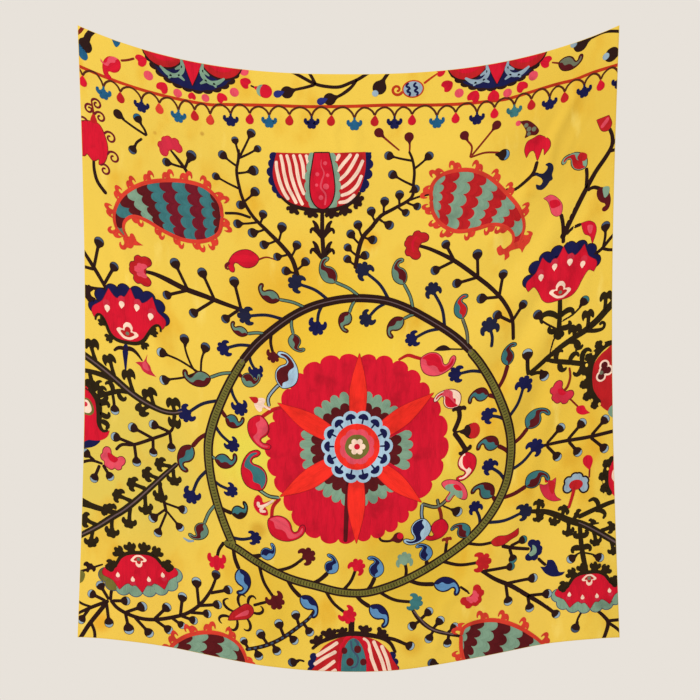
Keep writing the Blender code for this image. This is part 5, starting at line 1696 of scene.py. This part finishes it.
def draw_lower_sprays():
    piece = Piece("lower_sprays")
    stem(piece, [(-59.4, 136.6), (-59.7, 138.4), (-59.8, 140.4)], 0.8)
    stem(piece, [(-59.8, 140.2), (-58, 142), (-55, 143.3), (-51.5, 143.9), (-48, 143.5), (-44, 142.2),
                 (-40.4, 140.4), (-37.2, 137.4), (-34.8, 133.6), (-33.6, 130.4)],
         (0.9, 0.95, 0.95, 0.9, 0.7))
    stem(piece, [(-60.2, 140.5), (-64.4, 142.4), (-69, 144.6)], (0.9, 0.9, 0.6))
    stem(piece, [(-64.6, 142.4), (-66.8, 141.8), (-69, 140.6)], 0.6)
    stem(piece, [(-60.6, 140.8), (-63, 144), (-65.2, 147), (-67.6, 151)], 1.1)
    stem(piece, [(-64.6, 146.2), (-63.6, 148.4), (-63.4, 151)], 0.8)
    berries(piece, [(-62.5, 136.9, -60.2, 140.2, 1.15), (-64.6, 139.2, -61.0, 140.6, 1.1),
                    (-56.0, 140.0, -59.4, 140.4, 1.15), (-51.9, 140.9, -56.0, 142.9, 1.3),
                    (-45.8, 140.1, -48.8, 143.6, 1.2), (-41.9, 136.7, -42.3, 141.5, 1.2),
                    (-38.4, 132.2, -37.7, 138.0, 1.3), (-30.4, 132.4, -35.0, 134.2, 1.15),
                    (-33.0, 136.7, -37.7, 138.0, 1.15), (-35.6, 139.6, -40.0, 140.2, 1.1),
                    (-39.0, 142.0, -42.3, 141.5, 1.1), (-42.0, 143.8, -44.6, 142.4, 1.0),
                    (-45.2, 145.6, -48.8, 143.6, 1.15), (-50.0, 147.2, -53.7, 143.7, 1.2),
                    (-55.0, 146.9, -56.0, 142.9, 1.35), (-60.0, 145.9, -60.8, 141.0, 1.2),
                    (-67.0, 145.6, -65.0, 142.6, 1.1)])
    berry(piece, (-33.5, 129.2), (-33.9, 132), 1.15)
    # the round leaf with small hooks about it
    shell = [(-24.4, 135.6), (-24.0, 137.0), (-25.2, 138.6), (-27.4, 139.3), (-30.2, 140.0, 1),
             (-29.3, 138.0), (-27.4, 136.3), (-25.8, 135.2)]
    edged(piece, shell, "red", "wine", 0.20, 1)
    piece.fill([(-25.2, 136.6), (-25.4, 137.8), (-27.4, 138.6), (-28.6, 139.0), (-26.8, 137.4)], "pink", 3)
    for at, tip, width in (((-25.2, 135.6), (-25.0, 133.4), 0.8), ((-27.2, 136.2), (-27.8, 133.8), 0.8),
                           ((-28.8, 137.6), (-31.2, 136.4), 0.8), ((-29.6, 139.2), (-32.0, 139.4), -0.8),
                           ((-24.2, 137.0), (-22.0, 136.8), -0.8), ((-25.6, 138.6), (-24.6, 140.8), 0.8),
                           ((-28.0, 139.4), (-28.2, 141.8), 0.8)):
        hook(piece, at, heading(at, tip) + 90, 1.25 * math.dist(at, tip), math.copysign(1, width), 0.55,
             "bark", 0)
    stem(piece, [(-20.4, 133.8), (-22, 134.4), (-24, 135.2)], 0.7)
    spine = [(-8.6, 135.0), (-10, 137), (-13, 139.6), (-17, 142.7), (-21, 144.9), (-25.8, 146.7)]
    stem(piece, spine, (0.8, 1.0, 1.05, 0.9))
    dense = even(curve(spine), 1.5)
    for start, end in zip(dense[1:-1:1], dense[2::1]):
        middle = start + (end - start) * 0.55
        piece.stroke([tuple(start), tuple(middle)], 0.42, "slate", 2, 0.4)
    berries(piece, [(-13.3, 136.4, -12.4, 139.0, 1.15), (-17.5, 139.0, -16.2, 142.0, 1.2),
                    (-22.0, 142.1, -20.2, 144.5, 1.2), (-9.8, 140.3, -11.4, 138.2, 1.15),
                    (-13.7, 142.7, -15.2, 141.3, 1.15), (-18.0, 145.8, -19.2, 144.0, 1.15),
                    (-22.5, 147.6, -23.4, 145.8, 1.15), (-26.2, 144.6, -25.0, 146.4, 1.0)])
    stem(piece, [(-11.0, 147.8), (-12.4, 147.6), (-13.6, 148.2)], 0.5)
    berry(piece, (-14.0, 148.3), (-12, 147.7), 1.15)
    stem(piece, [(15.8, 134.6), (17.5, 137.5), (20.5, 140.4), (24, 142.2), (28.2, 143.8)],
         (0.8, 1.1, 1.0, 0.7))
    piece.stroke([(16.4, 135.6), (20.5, 140.4), (26.4, 143.0)], 0.32, "mauve", 2)
    berries(piece, [(20.2, 136.3, 18.0, 138.0, 1.15), (23.0, 138.9, 21.2, 140.7, 1.15),
                    (26.6, 141.1, 24.8, 142.4, 1.1), (16.0, 139.3, 18.0, 138.2, 1.15),
                    (20.2, 143.0, 21.4, 141.0, 1.15), (24.8, 144.9, 25.2, 142.8, 1.1)])
    berry(piece, (20.9, 149.3), (24, 150.4), 1.15)
    berry(piece, (56.8, 146.9), (58.4, 143.2), 1.15)
    stem(piece, [(58.6, 142.8), (57.6, 144.4), (57.0, 146.0)], 0.55)
    stem(piece, [(61.6, 142.4), (64, 144.6), (65.0, 146.6), (63.4, 151)], (0.7, 1.0, 0.9))
    stem(piece, [(65.0, 146.2), (67, 147.6), (69, 149.4)], 0.8)
    stem(piece, [(64.8, 145.8), (69, 145.6)], 0.8)


# The cloth itself: the hem is the strip along each edge
CELL = 0.70


def cloth_lines(end_a, end_b):
    """Grid lines of the sheet, close together at the edge and at the inner border of the hem."""
    inner = np.linspace(end_a + HEM, end_b - HEM, int(round((end_b - end_a - 2 * HEM) / CELL)) + 1)
    near = [end_a, end_a + 0.08, end_a + 0.55, end_a + HEM - 0.12]
    far = [end_a + end_b - value for value in near[::-1]]
    return np.array(near + list(inner) + far)


def make_cloth():
    """One closed sheet: a front, a back and a rounded edge, a little thicker over the hem."""
    across, down = cloth_lines(-HALF_A, HALF_A), cloth_lines(0, LAST_B)
    grid_a, grid_b = np.meshgrid(across, down)
    flat = np.stack([grid_a.ravel(), grid_b.ravel()], axis=1)
    to_edge = np.minimum(HALF_A - np.abs(flat[:, 0]), np.minimum(flat[:, 1], LAST_B - flat[:, 1]))
    on_hem = to_edge < HEM - 0.06
    at_edge = to_edge < 0.01
    front = SHEET - np.where(at_edge, 0.0004, 0.0)
    back = np.where(on_hem, 0.0, 0.0003) + np.where(at_edge, 0.0005, 0.0)
    count_a, count_b = len(across), len(down)
    index = np.arange(count_a * count_b).reshape(count_b, count_a)
    quads = np.stack([index[:-1, :-1], index[1:, :-1], index[1:, 1:], index[:-1, 1:]], axis=-1).reshape(-1,
                                                                                                        4)
    total = count_a * count_b
    rim = np.concatenate([index[0, :], index[1:, -1], index[-1, -2::-1], index[-2:0:-1, 0]])
    after = np.roll(rim, -1)
    sides = np.stack([rim, rim + total, after + total, after], axis=1)
    corners = np.vstack([on_cloth(flat, front), on_cloth(flat, back)])
    faces = quads.tolist() + (quads[:, ::-1] + total).tolist() + sides[:, ::-1].tolist()
    mesh = bpy.data.meshes.new("cloth")
    mesh.from_pydata(corners.tolist(), [], faces)
    layer = mesh.uv_layers.new(name="flat")
    uv = np.vstack([flat, flat])[[loop.vertex_index for loop in mesh.loops]] / 100
    layer.data.foreach_set("uv", uv.ravel())
    mesh.polygons.foreach_set("use_smooth", [True] * len(mesh.polygons))
    mesh.materials.append(cloth_material("yellow_cotton", YELLOW, SPOTS, 0.78))
    mesh.materials.append(cloth_material("yellow_cotton_back", YELLOW_BACK, (), 1.3))
    side = [1 if len(quads) <= k < 2 * len(quads) else 0 for k in range(len(mesh.polygons))]
    mesh.polygons.foreach_set("material_index", side)
    cloth = bpy.data.objects.new("suzani_cloth", mesh)
    bpy.context.scene.collection.objects.link(cloth)
    return cloth


def make_floor():
    bpy.ops.mesh.primitive_circle_add(vertices=96, radius=2.2, fill_type="NGON", location=(0, -0.7, -1.9))
    floor = bpy.context.active_object
    floor.name = "floor"
    material = bpy.data.materials.new("floor")
    material.use_nodes = True
    shader = material.node_tree.nodes["Principled BSDF"]
    shader.inputs["Base Color"].default_value = (0.72, 0.69, 0.65, 1)
    shader.inputs["Roughness"].default_value = 0.9
    floor.data.materials.append(material)
    return floor


def make_light(name, place_at, look_at, power, size, colour):
    lamp = bpy.data.lights.new(name, "AREA")
    lamp.energy = power
    lamp.size = size
    lamp.color = colour
    light = bpy.data.objects.new(name, lamp)
    light.location = place_at
    way = Vector(look_at) - Vector(place_at)
    light.rotation_euler = way.to_track_quat("-Z", "Y").to_euler()
    bpy.context.scene.collection.objects.link(light)
    return light


# Set the world, the light and the camera
WALL_COLOUR = (0.807, 0.760, 0.701, 1)
KEY_PLACE = (-4.5, -6.5, 3.0)
KEY_TARGET = (0, 0, -0.7)
KEY_POWER = 421
KEY_SIZE = 1.1
KEY_COLOUR = (1.0, 0.97, 0.93)
CAMERA_PLACE = (0.0037, -4.5, -0.676)
VIEW_WIDTH = 1.7157
world = bpy.data.worlds.new("studio")
world.use_nodes = True
backdrop = world.node_tree.nodes["Background"]
backdrop.inputs["Color"].default_value = WALL_COLOUR
backdrop.inputs["Strength"].default_value = 1.0
scene = bpy.context.scene
scene.world = world
scene.view_settings.view_transform = "Standard"
make_light("key", KEY_PLACE, KEY_TARGET, KEY_POWER, KEY_SIZE, KEY_COLOUR)
lens = bpy.data.cameras.new("front")
lens.lens_unit = "FOV"
camera = bpy.data.objects.new("front", lens)
camera.location = CAMERA_PLACE
camera.rotation_euler = (math.radians(90), 0, 0)
lens.angle = 2 * math.atan(VIEW_WIDTH / 2 / -CAMERA_PLACE[1])
scene.collection.objects.link(camera)
scene.camera = camera

# Make the cloth and its embroidery
for draw in (draw_border, draw_top_flowers, draw_upper_branches, draw_right_spray, draw_paisleys,
             draw_tulips, draw_ring, draw_ring_leaves, draw_rosette, draw_rosette_leaves, draw_palmettes,
             draw_foliage, draw_left_sprays, draw_right_sprays, draw_lower_sprays):
    draw()
materials = {name: thread_material(name) for name in THREADS}
cloth = make_cloth()
stitched = [piece.build() for piece in Piece.made]
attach(cloth, "root")
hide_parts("cloth")
for piece in stitched:
    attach(piece, "root")
floor = make_floor()
